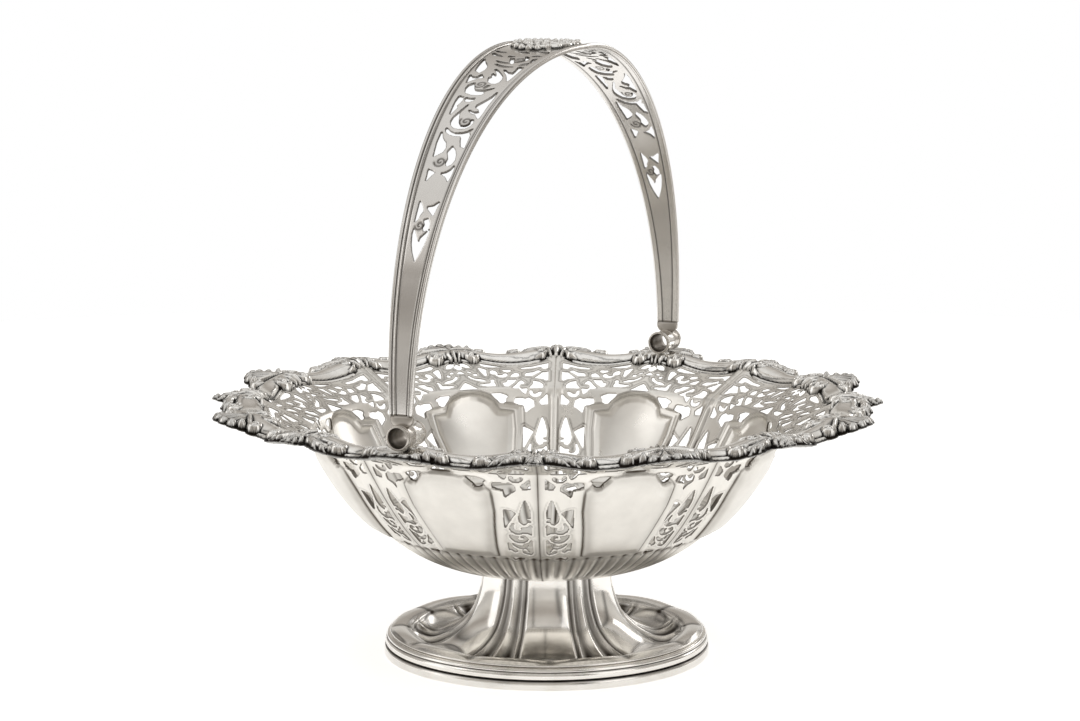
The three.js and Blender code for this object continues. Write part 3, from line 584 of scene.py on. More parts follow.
# The wall meets the band in a soft shoulder: the line is averaged over 41 of its points, weighted to the middle.
soft = bell(np.linspace(-2, 2, 41), 1)
padded = np.pad(bowl_line, ((20, 20), (0, 0)), mode="reflect", reflect_type="odd")
bowl_line = np.stack([np.convolve(padded[:, k], soft / soft.sum(), "valid") for k in (0, 1)], -1)
bowl_normal = line_normals(bowl_line)
bowl_length = bowl_length - WALL_LENGTH


def bowl_radius(s):
    """The bowl's radius at s mm along the profile from the shoulder."""
    return np.interp(s, bowl_length, bowl_line[:, 0])


def border_sag(degrees_from_axis):
    """The rim hangs down between shell and knot: 2.6 mm * sin^2."""
    return BORDER_SAG * np.sin(np.pi * np.abs(degrees_from_axis) / HALF_LOBE) ** 2


def bowl_point(a, s, out):
    """The point at a degrees and s mm along the profile from the shoulder, moved out along the profile's normal; the
    top of the band follows the rim's sag."""
    r = bowl_radius(s) + out * np.interp(s, bowl_length, bowl_normal[:, 0])
    z = np.interp(s, bowl_length, bowl_line[:, 1]) + out * np.interp(s, bowl_length, bowl_normal[:, 1])
    z = z - border_sag(a) * smoothstep(s, 8, BAND_LENGTH)
    return polar(r, a, z)


print("wall", WALL_LENGTH.round(1), "band", BAND_LENGTH.round(1), "mm along the profile")

# %% [markdown]
# The silversmith glues a paper drawing on the band and saws along it: scrolls, leaves and small darts, with narrow
# bars of metal left between them. One half of a lobe is drawn here, corner by corner. A texture with holes would be
# quicker, but a saw cut has walls, which catch the light.

# %% Openings of half a lobe: degrees from the panel's axis, mm above the shoulder
BAND_OPENINGS = [
    [(5.9, -2.4), (8.2, -2.5), (9.5, -3.4), (10, -4), (9.4, -4.8), (9.4, -6.4), (8.7, -6.9), (7.9, -6.7),
     (7.2, -5.3), (6.4, -3.8)],
    [(12.1, -5.3), (13.8, -5.2), (14.8, -5.7), (15.7, -5.1), (16.8, -6.3), (17, -9.2), (16, -10.2), (14.7, -12),
     (14.4, -9), (14.2, -8.3), (12.9, -7.9), (11.8, -7.2)],
    [(20.5, -3.5), (20.6, -8), (19.1, -8.3), (18.6, -7), (19, -5.9), (19.6, -5.2)],
    [(3.3, 3.2), (4.1, 2.6), (5.3, 1.9), (6.9, 1.8), (7.3, 2.1), (7.3, 3.9), (7.1, 5.5), (7.4, 7), (6.9, 7.2),
     (6.6, 6), (6.6, 4.5), (6.2, 4.2), (5.3, 4.1), (3.7, 3.7)],
    [(1.4, 10.8), (1.5, 9.8), (1.9, 8.5), (2.8, 7.3), (3.8, 6.2), (4.8, 5.8), (5.5, 6.2), (5, 7), (4.1, 7.9),
     (2.8, 8.4), (1.9, 9.9), (1.6, 11)],
    [(3.1, 12.5), (3.7, 12.3), (3.6, 10.6), (2.9, 11)],
    [(2.0, 14.6), (2.7, 13.6), (2.4, 13), (1.7, 13.8)],
    [(4.7, 18), (4.8, 16.5), (5, 14), (5.4, 11.5), (5.6, 10.2), (6, 11), (6.1, 14), (6.3, 16.7), (5.6, 17.6),
     (5.1, 18.3)],
    [(5.8, 22.2), (8.2, 21.9), (10.5, 20.7), (9.6, 20), (7.7, 19.3), (6.4, 19.2), (5.6, 20.5)],
    [(8, 16.3), (8.5, 15.2), (8.7, 13.5), (8.5, 11.5), (7.7, 11.5), (7.2, 12.2), (7.3, 14), (7.6, 15.8)],
    [(8.3, 10.3), (8.9, 8.9), (9.7, 8.5), (10.6, 9.2), (11, 10.5), (10.9, 12), (10.6, 12.6), (10.3, 12),
     (10.1, 11), (9.3, 10.9), (8.7, 11)],
    [(10.5, 17), (11.9, 17), (12.1, 15.5), (11.7, 14), (10.9, 13.4), (10.5, 14.3), (10.3, 15.8)],
    [(13.1, 12.9), (13.7, 12), (13.6, 9.5), (13.2, 8.8), (11.8, 8.8), (11.9, 9.6), (12.3, 11)],
    [(11, 6.5), (12.9, 6.5), (11.8, 3.5), (10.4, 1.3), (9.7, 1.6), (9.5, 4.2), (10.6, 4.8)],
    [(14.2, 5.8), (14.8, 4.3), (14.6, 3.2), (13.6, 2.7), (13.2, 1.2), (13.5, 0), (12.6, 0.1), (11.7, 0.3),
     (12.9, 2.8), (13.6, 4.8)],
    [(13.5, -0.3), (14.2, -0.6), (15.3, -0.3), (15, -1.8), (14.8, -2.7), (14.1, -1.8)],
    [(17.3, 5.4), (18.6, 4.6), (19.3, 3), (19.5, 1.2), (19.3, 0.2), (16.1, 0.1), (16.8, 2), (17.2, 3.3)],
    [(16.1, -1.5), (16.1, -3), (16.8, -4.2), (17.9, -4.3), (18.7, -3.5), (19, -2.2), (18.5, -2.3), (17.7, -3.2),
     (16.9, -3.2), (16.6, -2.2), (16.5, -1.5)],
    [(20.7, 12.3), (20.7, 5.2), (20.3, 5.6), (19.6, 6.7), (17.6, 7.7), (18.4, 9.3), (19.6, 12.2)],
    [(15.8, 12.2), (17.4, 12.7), (18.5, 14.2), (19.1, 13), (17.9, 11.2), (16.8, 9.3), (15.4, 9.3),
     (15.3, 10.5)],
    [(14.7, 18), (14.8, 16.6), (16.9, 16.4), (18.1, 16.8), (19.3, 17), (19.7, 15.2), (20.6, 15.5), (20.7, 19.5),
     (19.4, 19), (17.4, 18), (15.7, 18.2)],
    [(0.7, 21.3), (1.2, 22), (2.4, 19.8), (2.8, 17.6), (1.8, 17.6), (1, 19)],
]
# These three cross the axis: their right halves, from top to bottom.
AXIS_OPENINGS = [
    [(0, 5.6), (0.7, 4.2), (1.5, 2.2), (2.4, 0.4), (1.2, 0.5), (0, 0.5)],
    [(0, 20.3), (0.9, 17.8), (0.4, 16.2), (0, 16)],
    [(0, 15), (0.9, 12.9), (0, 12.7)],
]
# Beside the rib on the wall: degrees from the rib, mm from the shoulder.
COLUMN_OPENINGS = [
    [(2.2, -21.5), (2.9, -16.5), (3.3, -15), (3.8, -17.5), (4.7, -22), (5.2, -25), (4.9, -27.3), (4.2, -28.6),
     (3.5, -28.2), (3.2, -27), (2.2, -26.9), (2.3, -26.4), (3.3, -26.1), (3.6, -25.5), (3.3, -24.9),
     (2.3, -24.5)],
    [(6.1, -22), (8.6, -19.2), (8.8, -24), (9.1, -29.8), (8, -27), (6.9, -24)],
    [(2.15, -29.6), (3.2, -30.9), (4.7, -31), (4.4, -32.4), (5.4, -33.2), (6.6, -32.8), (7.2, -31.4),
     (6.9, -28.2), (7.5, -30), (7.9, -31.6), (7.7, -33), (6.6, -34.5), (5.7, -34.6), (4.7, -34), (3.2, -34),
     (2.3, -34.8)],
    [(8.2, -35.6), (8.1, -37.5), (7.2, -39.5), (6, -40.3), (4.7, -40.1), (3.7, -39), (3.4, -37.8), (3.8, -36.6),
     (4.6, -36), (5.2, -36.6), (4.6, -36.8), (4.1, -37.6), (4.3, -38.8), (5.4, -39.5), (6.2, -39.2),
     (6.4, -37.5), (6.2, -36.4), (7.4, -36.2)],
    [(3.3, -41.2), (4.2, -41.4), (4.6, -42.5), (5.2, -43.4), (6.4, -43), (7.9, -41.3), (7.4, -42.6),
     (6.4, -43.9), (5.2, -44.7), (4.3, -44.2), (3.8, -42.3)],
    [(2.2, -39), (2.9, -40.5), (3.1, -43.5), (3.8, -44.8), (3.3, -45.5), (3.5, -46.3), (2.8, -47), (2.9, -48.8),
     (2.4, -47.5), (2.3, -43)],
    [(9.1, -40.8), (9.2, -45.6), (8.3, -45.6), (7.8, -47), (7, -46.8), (7.2, -45.8), (8.1, -44.4)],
    [(5.1, -46.3), (4.4, -47.2), (3.2, -48.6), (4.2, -48.2), (5, -47.4)],
    [(5.2, -52.2), (8, -50.9), (8.8, -52), (8.2, -53.5), (6.2, -53.6)],
]


def opening_curve(corners, sharp=0.35):
    """A closed outline through its corners: a smooth line with two more points close to each corner, which keep it
    crisp."""
    p = np.asarray(corners, float)
    before, after = np.roll(p, 1, 0), np.roll(p, -1, 0)
    tight = np.stack([p + (before - p) * sharp * 0.5, p, p + (after - p) * sharp * 0.5], 1).reshape(-1, 2)
    return smooth_line(tight, len(tight) * 3, closed=True)


def to_mm(outline):
    """Degrees and mm to mm on both axes, at the bowl's radius there."""
    return np.stack([np.radians(outline[:, 0]) * bowl_radius(outline[:, 1]), outline[:, 1]], -1)


axis_whole = [half + [(-a, s) for a, s in half[::-1] if a > 0] for half in AXIS_OPENINGS]
column_turned = [[(HALF_LOBE - b, s) for b, s in opening] for opening in COLUMN_OPENINGS]
bowl_openings = [to_mm(opening_curve(o)) for o in BAND_OPENINGS + axis_whole + column_turned]
print(len(bowl_openings), "openings in half a lobe")

# %% [markdown]
# Inside, a plain panel has three outlines: its own, a shelf's and its swelling field's. Outside it shows as two soft
# steps, a wide one and a round arch on it. A stamp presses the panel in one blow, so the relief is worked out in one
# go too, from the distance to each of the five outlines.

# %% The lobe's relief
PANEL_LINE = [(0, 0), (2.6, -0.6), (5, -2.4), (6.7, -4.6), (7.6, -6.4), (9.2, -7.0), (14.2, -8.3), (14.1, -14),
              (14, -20), (12.8, -30), (11.6, -40), (11.3, -49.5)]
STEP_LINE = [(0, -0.8), (2.6, -1.4), (4.9, -3.1), (6.6, -5.3), (7.3, -7.2), (8.2, -8.6), (12.8, -9.6), (12.8, -20),
             (11.8, -30), (10.7, -42), (10.5, -48.4)]
FIELD_LINE = [(0, -1.7), (2.5, -2.3), (4.7, -3.9), (6.3, -6.1), (6.9, -8.2), (7.6, -10.1), (11.3, -11.1), (11.3, -20),
              (10.5, -30), (9.6, -42), (9.4, -47.2)]
ARCH_LINE = [(0, -0.4), (3, -0.8), (6, -2.3), (8.5, -4.5), (10.2, -6.6), (11.2, -8.8), (11.3, -12), (11.3, -20),
             (10.5, -30), (9.7, -42), (9.5, -48.5)]
WIDE_LINE = [(0, 1.6), (4, 1.3), (8, -0.4), (11.5, -3), (14.1, -6.2), (15.2, -9.5), (15, -14), (14.7, -20),
             (13.5, -30), (12.3, -40), (12, -50.5)]


def panel_distance(x, s, line):
    """How far inside a panel's outline a point is, in mm; the outline is mirrored about the axis."""
    whole = np.array(line + [(-a, v) for a, v in line[::-1] if a > 0], float)
    return -outline_distance(x.ravel(), s.ravel(), to_mm(whole)).reshape(x.shape)


def lobe_relief(a, s):
    """Outer height, inner height, outer darkness and inner darkness. Each step is a smoothstep of the distance to its
    outline, and the field swells as (1 - (a / 12.5)^2) (1 - ((s + 24) / 25)^2). Below the panel flutes, 0.5 - 0.5 cos
    every 4.5 degrees, run to the stem. The rib is a half-round bead inside and a strip with one line outside. The
    darkness is painted shade: lines along the steps and the arch, the flutes' troughs, both sides of the rib's bead,
    a shadow under the panel's lower edge, and outside a dark line for the rib's groove, which the outer face lacks."""
    x = np.radians(a) * bowl_radius(s)
    edge, shelf, field, arch, wide = (panel_distance(x, s, line)
                                      for line in (PANEL_LINE, STEP_LINE, FIELD_LINE, ARCH_LINE, WIDE_LINE))
    dome = np.clip(1 - (a / 12.5) ** 2, 0, 1) * np.clip(1 - ((s + 24) / 25) ** 2, 0, 1)
    swell = 1.6 * dome * smoothstep(field, 0, 3)
    inner = (0.9 * smoothstep(edge, -0.1, 0.9) + 0.4 * smoothstep(shelf, -0.2, 0.7)
             + 0.7 * smoothstep(field, -0.4, 0.9) - 0.2 * bell(field + 0.5, 0.4) + swell)
    outer = (0.9 * smoothstep(wide, -1.6, 1.2) + 0.9 * smoothstep(arch, -0.4, 0.9) + 0.4 * smoothstep(arch, 0.8, 4.5)
             + swell)
    # Painted shade: dark lines along the panel's steps inside and along the arch outside, which is a little darker
    # within too.
    dark_in = 0.45 * bell(field + 0.3, 0.45) + 0.45 * bell(edge, 0.5)
    dark_out = ((0.8 * bell(arch + 0.2, 0.5) + 0.22 * bell(arch - 0.8, 3.0)) * (0.6 + 0.4 * smoothstep(-s, 6, 12))
                + 0.04 + 0.1 * smoothstep(arch, 0, 2))
    low = smoothstep(-s, 50.5, 54) * (1 - smoothstep(-s, 72, 80))
    wave = 0.5 - 0.5 * np.cos(2 * np.pi * a / 4.5)
    # flute_dark is painted shade in the flutes' troughs.
    flutes, flute_dark = 0.8 * low * wave, 0.7 * low * wave ** 3
    rib_x = np.radians(HALF_LOBE - np.abs(a)) * bowl_radius(s)
    on_wall = 1 - smoothstep(s, -6, -2)
    bead = np.sqrt(np.clip(1 - (rib_x / 1.9) ** 2, 0, 1)) * on_wall * smoothstep(-s, -90, -30)
    strap = (1 - smoothstep(rib_x, 3.3, 3.9)) * (1 - on_wall)
    facet = 0.35 * np.abs(((s - rib_x) / 3.0) % 1 - 0.5) * smoothstep(s, 6, 8) * (1 - smoothstep(s, 17, 19))
    inner = inner - flutes - 1.1 * bead - (0.5 + facet) * strap
    outer = outer - flutes
    # Painted shade beside the rib's bead inside; outside, a painted dark line where the rib's groove is, though the
    # outer face has no groove, and a painted shadow under the panel's lower edge.
    dark_in = dark_in + flute_dark + 0.5 * bell(rib_x - 2.0, 0.45) * on_wall
    dark_out = dark_out + flute_dark + 0.6 * bell(rib_x, 0.4) + 0.25 * bell(rib_x, 2.2) + 0.35 * bell(s + 53.5, 1.2)
    return outer, inner, np.clip(dark_out, 0, 1), np.clip(dark_in, 0, 1)


middle = lobe_relief(np.array([0.0]), np.array([-24.0]))
print("the panel's middle stands out by", middle[0][0].round(2), "mm outside and", middle[1][0].round(2), "inside")

# %% [markdown]
# The lobe is now cut and given its thickness. Each opening is sawn a third of a millimetre wider all round than it is
# drawn, because the drawing follows only its dark, and the lit walls belong to it too. Round each opening a fine line
# is chased in the metal, and close to it both faces are equally high, so that the cut is as thin as the sheet.

# %% Eight lobes
lobe_rows = np.concatenate([np.arange(-WALL_LENGTH, -56, 1.5), np.arange(-56, BAND_LENGTH - 0.2, 0.58),
                            [BAND_LENGTH]])
lobe_a, lobe_s = np.meshgrid(np.linspace(-HALF_LOBE, HALF_LOBE, 141), lobe_rows)
OPENING_EASE, CHASED_LINE_AT, CUT_BEVEL = 0.36, 1.15, 0.1
lobe_field = pierced_field(np.radians(np.abs(lobe_a)) * bowl_radius(lobe_s), lobe_s, bowl_openings) - OPENING_EASE
lobe_uv, lobe_faces, lobe_cut = cut_grid(lobe_a, lobe_s, lobe_field)
cut_a, cut_s = lobe_uv[:, 0], lobe_uv[:, 1]
outer_height, inner_height, outer_dark, inner_dark = lobe_relief(cut_a, cut_s)
from_cut = np.maximum(on_grid(lobe_field, lobe_a, lobe_s, lobe_uv), 0)
near_cut = bell(from_cut, 0.9) * smoothstep(cut_s, -9.5, -8)
# The chased line runs on the band and in the pierced columns between panels, not on the panels' shoulders.
in_column = smoothstep(np.abs(cut_a), 12.5, 13.5) * smoothstep(-cut_s, 14, 16)
chased = bell(from_cut - CHASED_LINE_AT, 0.33) * np.maximum(smoothstep(cut_s, 0, 1.5), in_column)
outer_height = outer_height + (inner_height - outer_height) * near_cut
bevel = CUT_BEVEL * lobe_cut
# The band was planished thinner than the wall: 0.7 mm.
wall = BOWL_WALL - 0.2 * smoothstep(cut_s, -4, 2)
lobe_outer = bowl_point(cut_a, cut_s, outer_height - bevel)
lobe_inner = bowl_point(cut_a, cut_s, inner_height - wall + bevel)
# The points on the cut, and with them the cut walls, are painted dark as their shade: 0.75 outside, 0.42 inside. The
# chased line round each opening is darker too.
lobe_points, lobe_all, lobe_shade, lobe_walls = sheet_solid(
    lobe_faces, lobe_outer, lobe_inner, np.clip(outer_dark + 0.75 * lobe_cut + 0.25 * chased, 0, 1),
    np.clip(inner_dark + 0.42 * lobe_cut + 0.5 * chased, 0, 1))


def turn_about_z(points, degrees):
    """Points turned from +Y towards +X: (x cos + y sin, y cos - x sin, z)."""
    c, s = math.cos(math.radians(degrees)), math.sin(math.radians(degrees))
    x, y = points[:, 0], points[:, 1]
    return np.stack([x * c + y * s, y * c - x * s, points[:, 2]], -1)


for lobe in range(LOBES):
    make_piece(f"bowl_lobe_{lobe + 1}", (turn_about_z(lobe_points, lobe * LOBE_ANGLE), lobe_all, lobe_shade),
               sheet_silver, "basket", ["bowl"], flat_faces=lobe_walls)

# %% [markdown]
# The bowl's floor is the middle of the same sheet. It closes the lobes over the stem: a shallow dome, as a profile
# carried round the axis, with its upper and its lower face in one closed tube.

# %% Bowl floor
floor_line = smooth_line([(0, 38.75), (6, 38.75), (12, 38.72), (18, 38.68), (24, 38.6), (26.2, 38.55), (27.0, 38.5),
                          (28.1, 38.5)], 40)
floor_turns = (np.arange(96) * 360 / 96)[None, :]
floor_under, floor_upper = (polar(np.maximum(floor_line[:, 0], 0.02)[:, None], floor_turns,
                                  (floor_line[:, 1] + lift)[:, None]) for lift in (0, BOWL_WALL))
make_piece("bowl_floor", closed_tube(np.concatenate([floor_under, floor_upper[::-1]])), sheet_silver, "basket",
           ["bowl"])

# %% [markdown]
# ## The cast border
# Eight castings are soldered round the rim, from knot to knot, each with a shell in its middle. A casting is one
# solid relief: a smooth moulding runs along the rim, and volutes, leaves and the shell grow out of it. So it is made
# as a relief too, as a function of the place along the rim (x) and across it (y). Every scroll and every finger of a
# leaf is a line with a radius, which raises the relief to a half-round ridge; the shell is a fan of flutes. The
# highest of all at each point is the surface, its edge is cut to the ornament's own outline, and tarnish and
# painted shade lie wherever the relief is lower than what stands around it.

# %% Ridges, leaves and fans
def ridge(x, y, points, radius, height, count=48, vein=0.0):
    """A rounded ridge along a smooth line: height * (1 - (d / r)^2)^0.7, where d is the distance to the line and r
    tapers along it, with a vein cut along its middle. Also returns r - d, which is positive inside its outline."""
    line = smooth_line(points, count)
    spots = np.linspace(0, 1, count)
    r_line = np.interp(spots, np.linspace(0, 1, len(radius)), radius)
    d, share = line_distance(x, y, line, max(radius) + 1.6)
    r = np.interp(share, spots, r_line)
    body = height * np.clip(1 - (d / np.maximum(r, 1e-6)) ** 2, 0, 1) ** 0.7 * np.minimum(r / max(radius) + 0.15, 1)
    return np.where(d < r, body - vein * bell(d, 0.4), 0), r - d


def spiral(cx, cy, r0, r1, start, turns, count=24):
    """Points of a spiral about (cx, cy), from radius r0 to r1, from an angle in degrees counted from +x."""
    t = np.linspace(0, 1, count)
    a = np.radians(start) + 2 * np.pi * turns * t
    r = r0 + (r1 - r0) * t
    return np.stack([cx + r * np.cos(a), cy + r * np.sin(a)], -1)


def fan(x, y, cx, cy, facing, half_angle, reach, flutes, height, scallop=0.08, depth=0.35):
    """A fan of flutes about (cx, cy): ridges |cos| across the angle, a rounded rim, and an outline that bulges at
    every flute. Returns its relief and how far inside the outline a point is."""
    dx, dy = x - cx, y - cy
    rho = np.hypot(dx, dy)
    turn = np.degrees(np.arctan2(dx, dy)) - facing
    turn = (turn + 180) % 360 - 180
    share = turn / half_angle
    wave = np.abs(np.cos(np.pi * flutes * (share + 1) / 2 + np.pi / 2))
    edge = reach * (1 - scallop + scallop * wave) * np.sqrt(np.clip(1 - 0.45 * share ** 2, 0, 1))
    inside = np.minimum(edge - rho, (1 - np.abs(share)) * np.radians(half_angle) * np.maximum(rho, 0.5))
    body = smoothstep(inside, 0, 1.0)
    swell = (0.75 + 0.25 * smoothstep(rho / reach, 0.15, 0.85)) * (1 - 0.3 * share ** 2)
    return np.where(inside > 0, height * body * (1 - depth + depth * wave) * swell, 0), inside


def leaf(x, y, spine, width, fingers, reach, height, lean=58):
    """An acanthus leaf: a ridge along its spine and tapered fingers that leave it by lean degrees and bend towards
    its tip, 0.45 + 0.55 sin(pi t) of their reach long. Returns relief and outline distance."""
    line = smooth_line(spine, 60)
    ridges = [ridge(x, y, spine, [width * 0.7, width, width * 0.9, 0.5], height, vein=0.9)]
    for t in np.linspace(0.12, 0.9, fingers):
        i = int(t * 58)
        p, d = line[i], line[i + 1] - line[i]
        d = d / np.hypot(*d)
        length = reach * (0.45 + 0.55 * math.sin(math.pi * min(t + 0.12, 1)))
        for side in (-1, 1):
            c, s = math.cos(math.radians(lean)), side * math.sin(math.radians(lean))
            e = np.array([d[0] * c - d[1] * s, d[0] * s + d[1] * c])
            ridges.append(ridge(x, y, [p, p + 0.5 * length * e, p + length * (0.85 * e + 0.35 * d)],
                                [width * 0.5, width * 0.7, width * 0.2], height * 0.9, count=16, vein=0.5))
    return np.max([r[0] for r in ridges], axis=0), np.max([r[1] for r in ridges], axis=0)


def ball(x, y, cx, cy, radius, height):
    """A round boss: height * sqrt(1 - (d / radius)^2)."""
    d = np.hypot(x - cx, y - cy)
    return height * np.sqrt(np.clip(1 - (d / radius) ** 2, 0, 1)), radius - d


here = np.array([0.0]), np.array([0.0])
print("in the middle a ridge is", ridge(*here, [(-5, 0), (0, 0), (5, 0)], [1, 1, 1], 2.0)[0][0].round(2),
      "mm high and a ball", ball(*here, 0, 0, 1, 2.0)[0][0], "mm")

# %% [markdown]
# The moulding under the ornament is one thick bead between two thin ones. Its inner edge waves with the ornament,
# and it follows the rim's sag. Half a section is worked out, from the shell's middle to the knot's, and the other
# half is its mirror image, because the place along the rim counts from the shell to both sides.

# %% The moulding under the ornament
BORDER_RADIUS = 134.0
KNOT = math.radians(HALF_LOBE) * BORDER_RADIUS
INNER_X = [0, 4, 7, 11, 13.5, 20, 25.7, 33, 39, 43, 48, KNOT]
INNER_Y = [-3.4, -3.6, -4.6, -4.0, -2.0, -2.8, -3.7, -4.8, -5.4, -5.0, -2.8, -1.2]


def border_frame(x, y):
    """Radius, angle and height of the moulding's ground: over the band's inner face, then level, and outside the
    moulding a climb to the ornament's tips."""
    side = np.degrees(np.abs(x) / BORDER_RADIUS)
    rise = np.interp(y, [-6, -3, 0, 4, 11, 13, 16, 19, 24], [-2.1, -0.9, -0.1, 0.0, 0.0, 0.2, 0.8, 1.5, 2.3])
    return BORDER_INNER_RADIUS + y, np.degrees(x / BORDER_RADIUS), RIM_Z - border_sag(side) + rise


grid_x, grid_y = np.meshgrid(np.linspace(-KNOT, KNOT, 305), np.linspace(-6.2, 23.4, 90))
from_shell = np.abs(grid_x)
inner_edge = np.interp(from_shell, INNER_X, INNER_Y)
outer_edge = 11.4 - 1.5 * bell(from_shell - 24, 5)
across_share = (grid_y - inner_edge) / (outer_edge - inner_edge)


def bead(low, high):
    """A half-round bead between two shares of the moulding's width: sqrt(1 - t^2), with t from -1 to 1 across it."""
    return np.sqrt(np.clip(1 - ((across_share - (low + high) / 2) / ((high - low) / 2)) ** 2, 0, 1))


moulding = np.maximum.reduce([1.1 * bead(0, 0.13), 3.7 * bead(0.1, 0.92), 1.2 * bead(0.88, 1.0)])
ground = (moulding, np.minimum(grid_y - inner_edge, outer_edge - grid_y))
print("a section is", round(2 * KNOT, 1), "mm long and its moulding up to", moulding.max().round(2), "mm high")

# %% [markdown]
# The modeller lays leaves, hooks and bosses on the wax one by one. The list does the same, from the shell towards the
# knot. A photograph's shades could be turned to heights, but a list of lines keeps each form and can be changed.

# %% The ornament of one section
KNOT_HOOK, SHELL_HOOK = KNOT - 20.4, 15.4
spot = (from_shell, grid_y)
ornament = [
    ground,
    # The shell: a fan of seven flutes with seven knobs on its curled edge, and a rib along its side.
    fan(*spot, 0, 6.0, 0, 58, 16.2, 7, 4.9, scallop=0.05, depth=0.24),
    *[ball(*spot, *knob, 5.6) for knob in ((0, 19.9, 2.4), (4.2, 19.2, 2.3), (8.0, 17.2, 2.2), (10.9, 13.9, 1.9))],
    ridge(*spot, [(1.0, 7.0), (6.0, 8.6), (11.0, 10.2), (14.6, 10.6)], [1.3, 1.7, 1.6, 1.0], 4.5),
    # The hook beside the shell, with its eye, and the leaf under it.
    ridge(*spot, spiral(SHELL_HOOK, 9.6, 3.0, 0.6, 100, -1.3), [1.0, 1.2, 1.1], 4.3),
    ball(*spot, SHELL_HOOK, 9.6, 1.2, 4.4),
    leaf(*spot, [(7.5, 3.2), (11.5, 5.0), (15.5, 5.2), (20.5, 3.4)], 1.3, 3, 3.4, 4.4, lean=34),
    # The scroll over the band beside the shell's foot, and the shell's stem.
    ridge(*spot, spiral(9.4, -0.4, 3.4, 3.1, 150, 0.95), [0.7, 1.1, 1.0], 4.0),
    ridge(*spot, [(5.4, 4.8), (7.5, 3.6), (11.0, 3.4), (13.0, 1.0)], [0.8, 1.2, 1.0], 4.3),
    ball(*spot, 9.4, -0.4, 1.9, 4.3),
    ridge(*spot, [(2.6, 4.6), (3.0, 0.5), (2.0, -3.2)], [1.0, 1.3, 0.7], 3.9),
    ridge(*spot, [(0, 5.0), (0, 0.5), (0, -3.8)], [1.1, 1.5, 0.7], 4.4),
    # The knot's three leaves, one outwards and two along the rim.
    leaf(*spot, [(KNOT, 5.0), (KNOT, 9.0), (KNOT, 13.5), (KNOT, 18.4)], 1.9, 4, 5.0, 4.4, lean=48),
    leaf(*spot, [(KNOT - 2.5, 8.0), (KNOT - 8.0, 10.8), (KNOT - 13.5, 11.6), (KNOT - 19.0, 10.4)], 1.9, 4, 4.8, 4.2,
         lean=30),
    leaf(*spot, [(KNOT - 5.0, 5.0), (KNOT - 10.0, 6.6), (KNOT - 15.5, 6.6), (KNOT - 21.0, 5.4)], 1.4, 3, 3.6, 4.5,
         lean=28),
    # The knot's hooks with their eyes, its strap, and the small scrolls at its foot.
    ridge(*spot, spiral(KNOT_HOOK, 9.0, 3.4, 0.7, -110, -1.2), [1.2, 1.3, 1.1], 4.3),
    ball(*spot, KNOT_HOOK, 9.0, 1.3, 4.5),
    ridge(*spot, spiral(KNOT - 7.2, 2.6, 3.0, 0.6, 20, 1.2), [0.9, 1.2, 1.1], 4.3),
    ball(*spot, KNOT - 7.2, 2.6, 1.3, 4.5),
    ridge(*spot, [(KNOT, -1.4), (KNOT, 3.0), (KNOT, 8.0)], [1.3, 2.5, 1.7], 4.9),
    ridge(*spot, [(KNOT - 3.4, 7.4), (KNOT - 4.0, 2.6), (KNOT - 2.6, -1.8)], [0.9, 1.4, 0.8], 4.3),
    ridge(*spot, [(KNOT - 10.5, -2.8), (KNOT - 6.8, -2.2), (KNOT - 4.8, 0.4)], [0.6, 1.1, 0.9], 3.9),
]
# The tips are half as high as the ornament on the moulding. From half a millimetre inside its outline the casting
# is at least 0.8 mm high.
relief = np.max([form[0] for form in ornament], axis=0) * (1 - 0.5 * smoothstep(grid_y, 10.5, 19.5))
inside = np.minimum(np.max([form[1] for form in ornament], axis=0), 23.3 - grid_y)
inside = inside + 0.5 * smoothstep(grid_y, 7, 9)
relief = np.maximum(relief, 0.8 * smoothstep(inside, 0, 0.5))
print(len(ornament), "forms, relief up to", relief.max().round(2), "mm")

# %% [markdown]
# Polish reaches what stands proud and leaves tarnish in the recesses, which also lie in shade, so their darkness is
# tarnish and painted shade together. A point is a recess when the relief around it is higher on average, so the
# darkness is the blurred relief less the relief: a narrow blur for the lines between two leaves, a wide one for
# whole hollows.

# %% Tarnish and painted shade in recesses
def blurred(values, reach):
    """Values averaged over a square window, by running sums along both axes."""
    for axis in (0, 1):
        pad = [(reach + 1, reach) if k == axis else (0, 0) for k in (0, 1)]
        total = np.cumsum(np.pad(values, pad, mode="edge"), axis=axis)
        size = total.shape[axis]
        lead = np.take(total, np.arange(2 * reach + 1, size), axis=axis)
        lag = np.take(total, np.arange(0, size - 2 * reach - 1), axis=axis)
        values = (lead - lag) / (2 * reach + 1)
    return values


def recess_tarnish_and_shade(values, near=3, near_share=2.8, wide=9, wide_share=0.7):
    """Oxide and painted shade: how much lower a point is than the average of what stands around it, near and wide."""
    return np.clip((blurred(values, near) - values) * near_share
                   + (blurred(values, wide) - values) * wide_share, 0, 1)


print("share of the relief that is dark:", (recess_tarnish_and_shade(relief) > 0.5).mean().round(2))

# %% [markdown]
# One pattern gives all eight castings. The two that carry the hinges are filed lower under them, and where the handle
# lies when it is down, so their relief is cut off at a height that leaves room there.

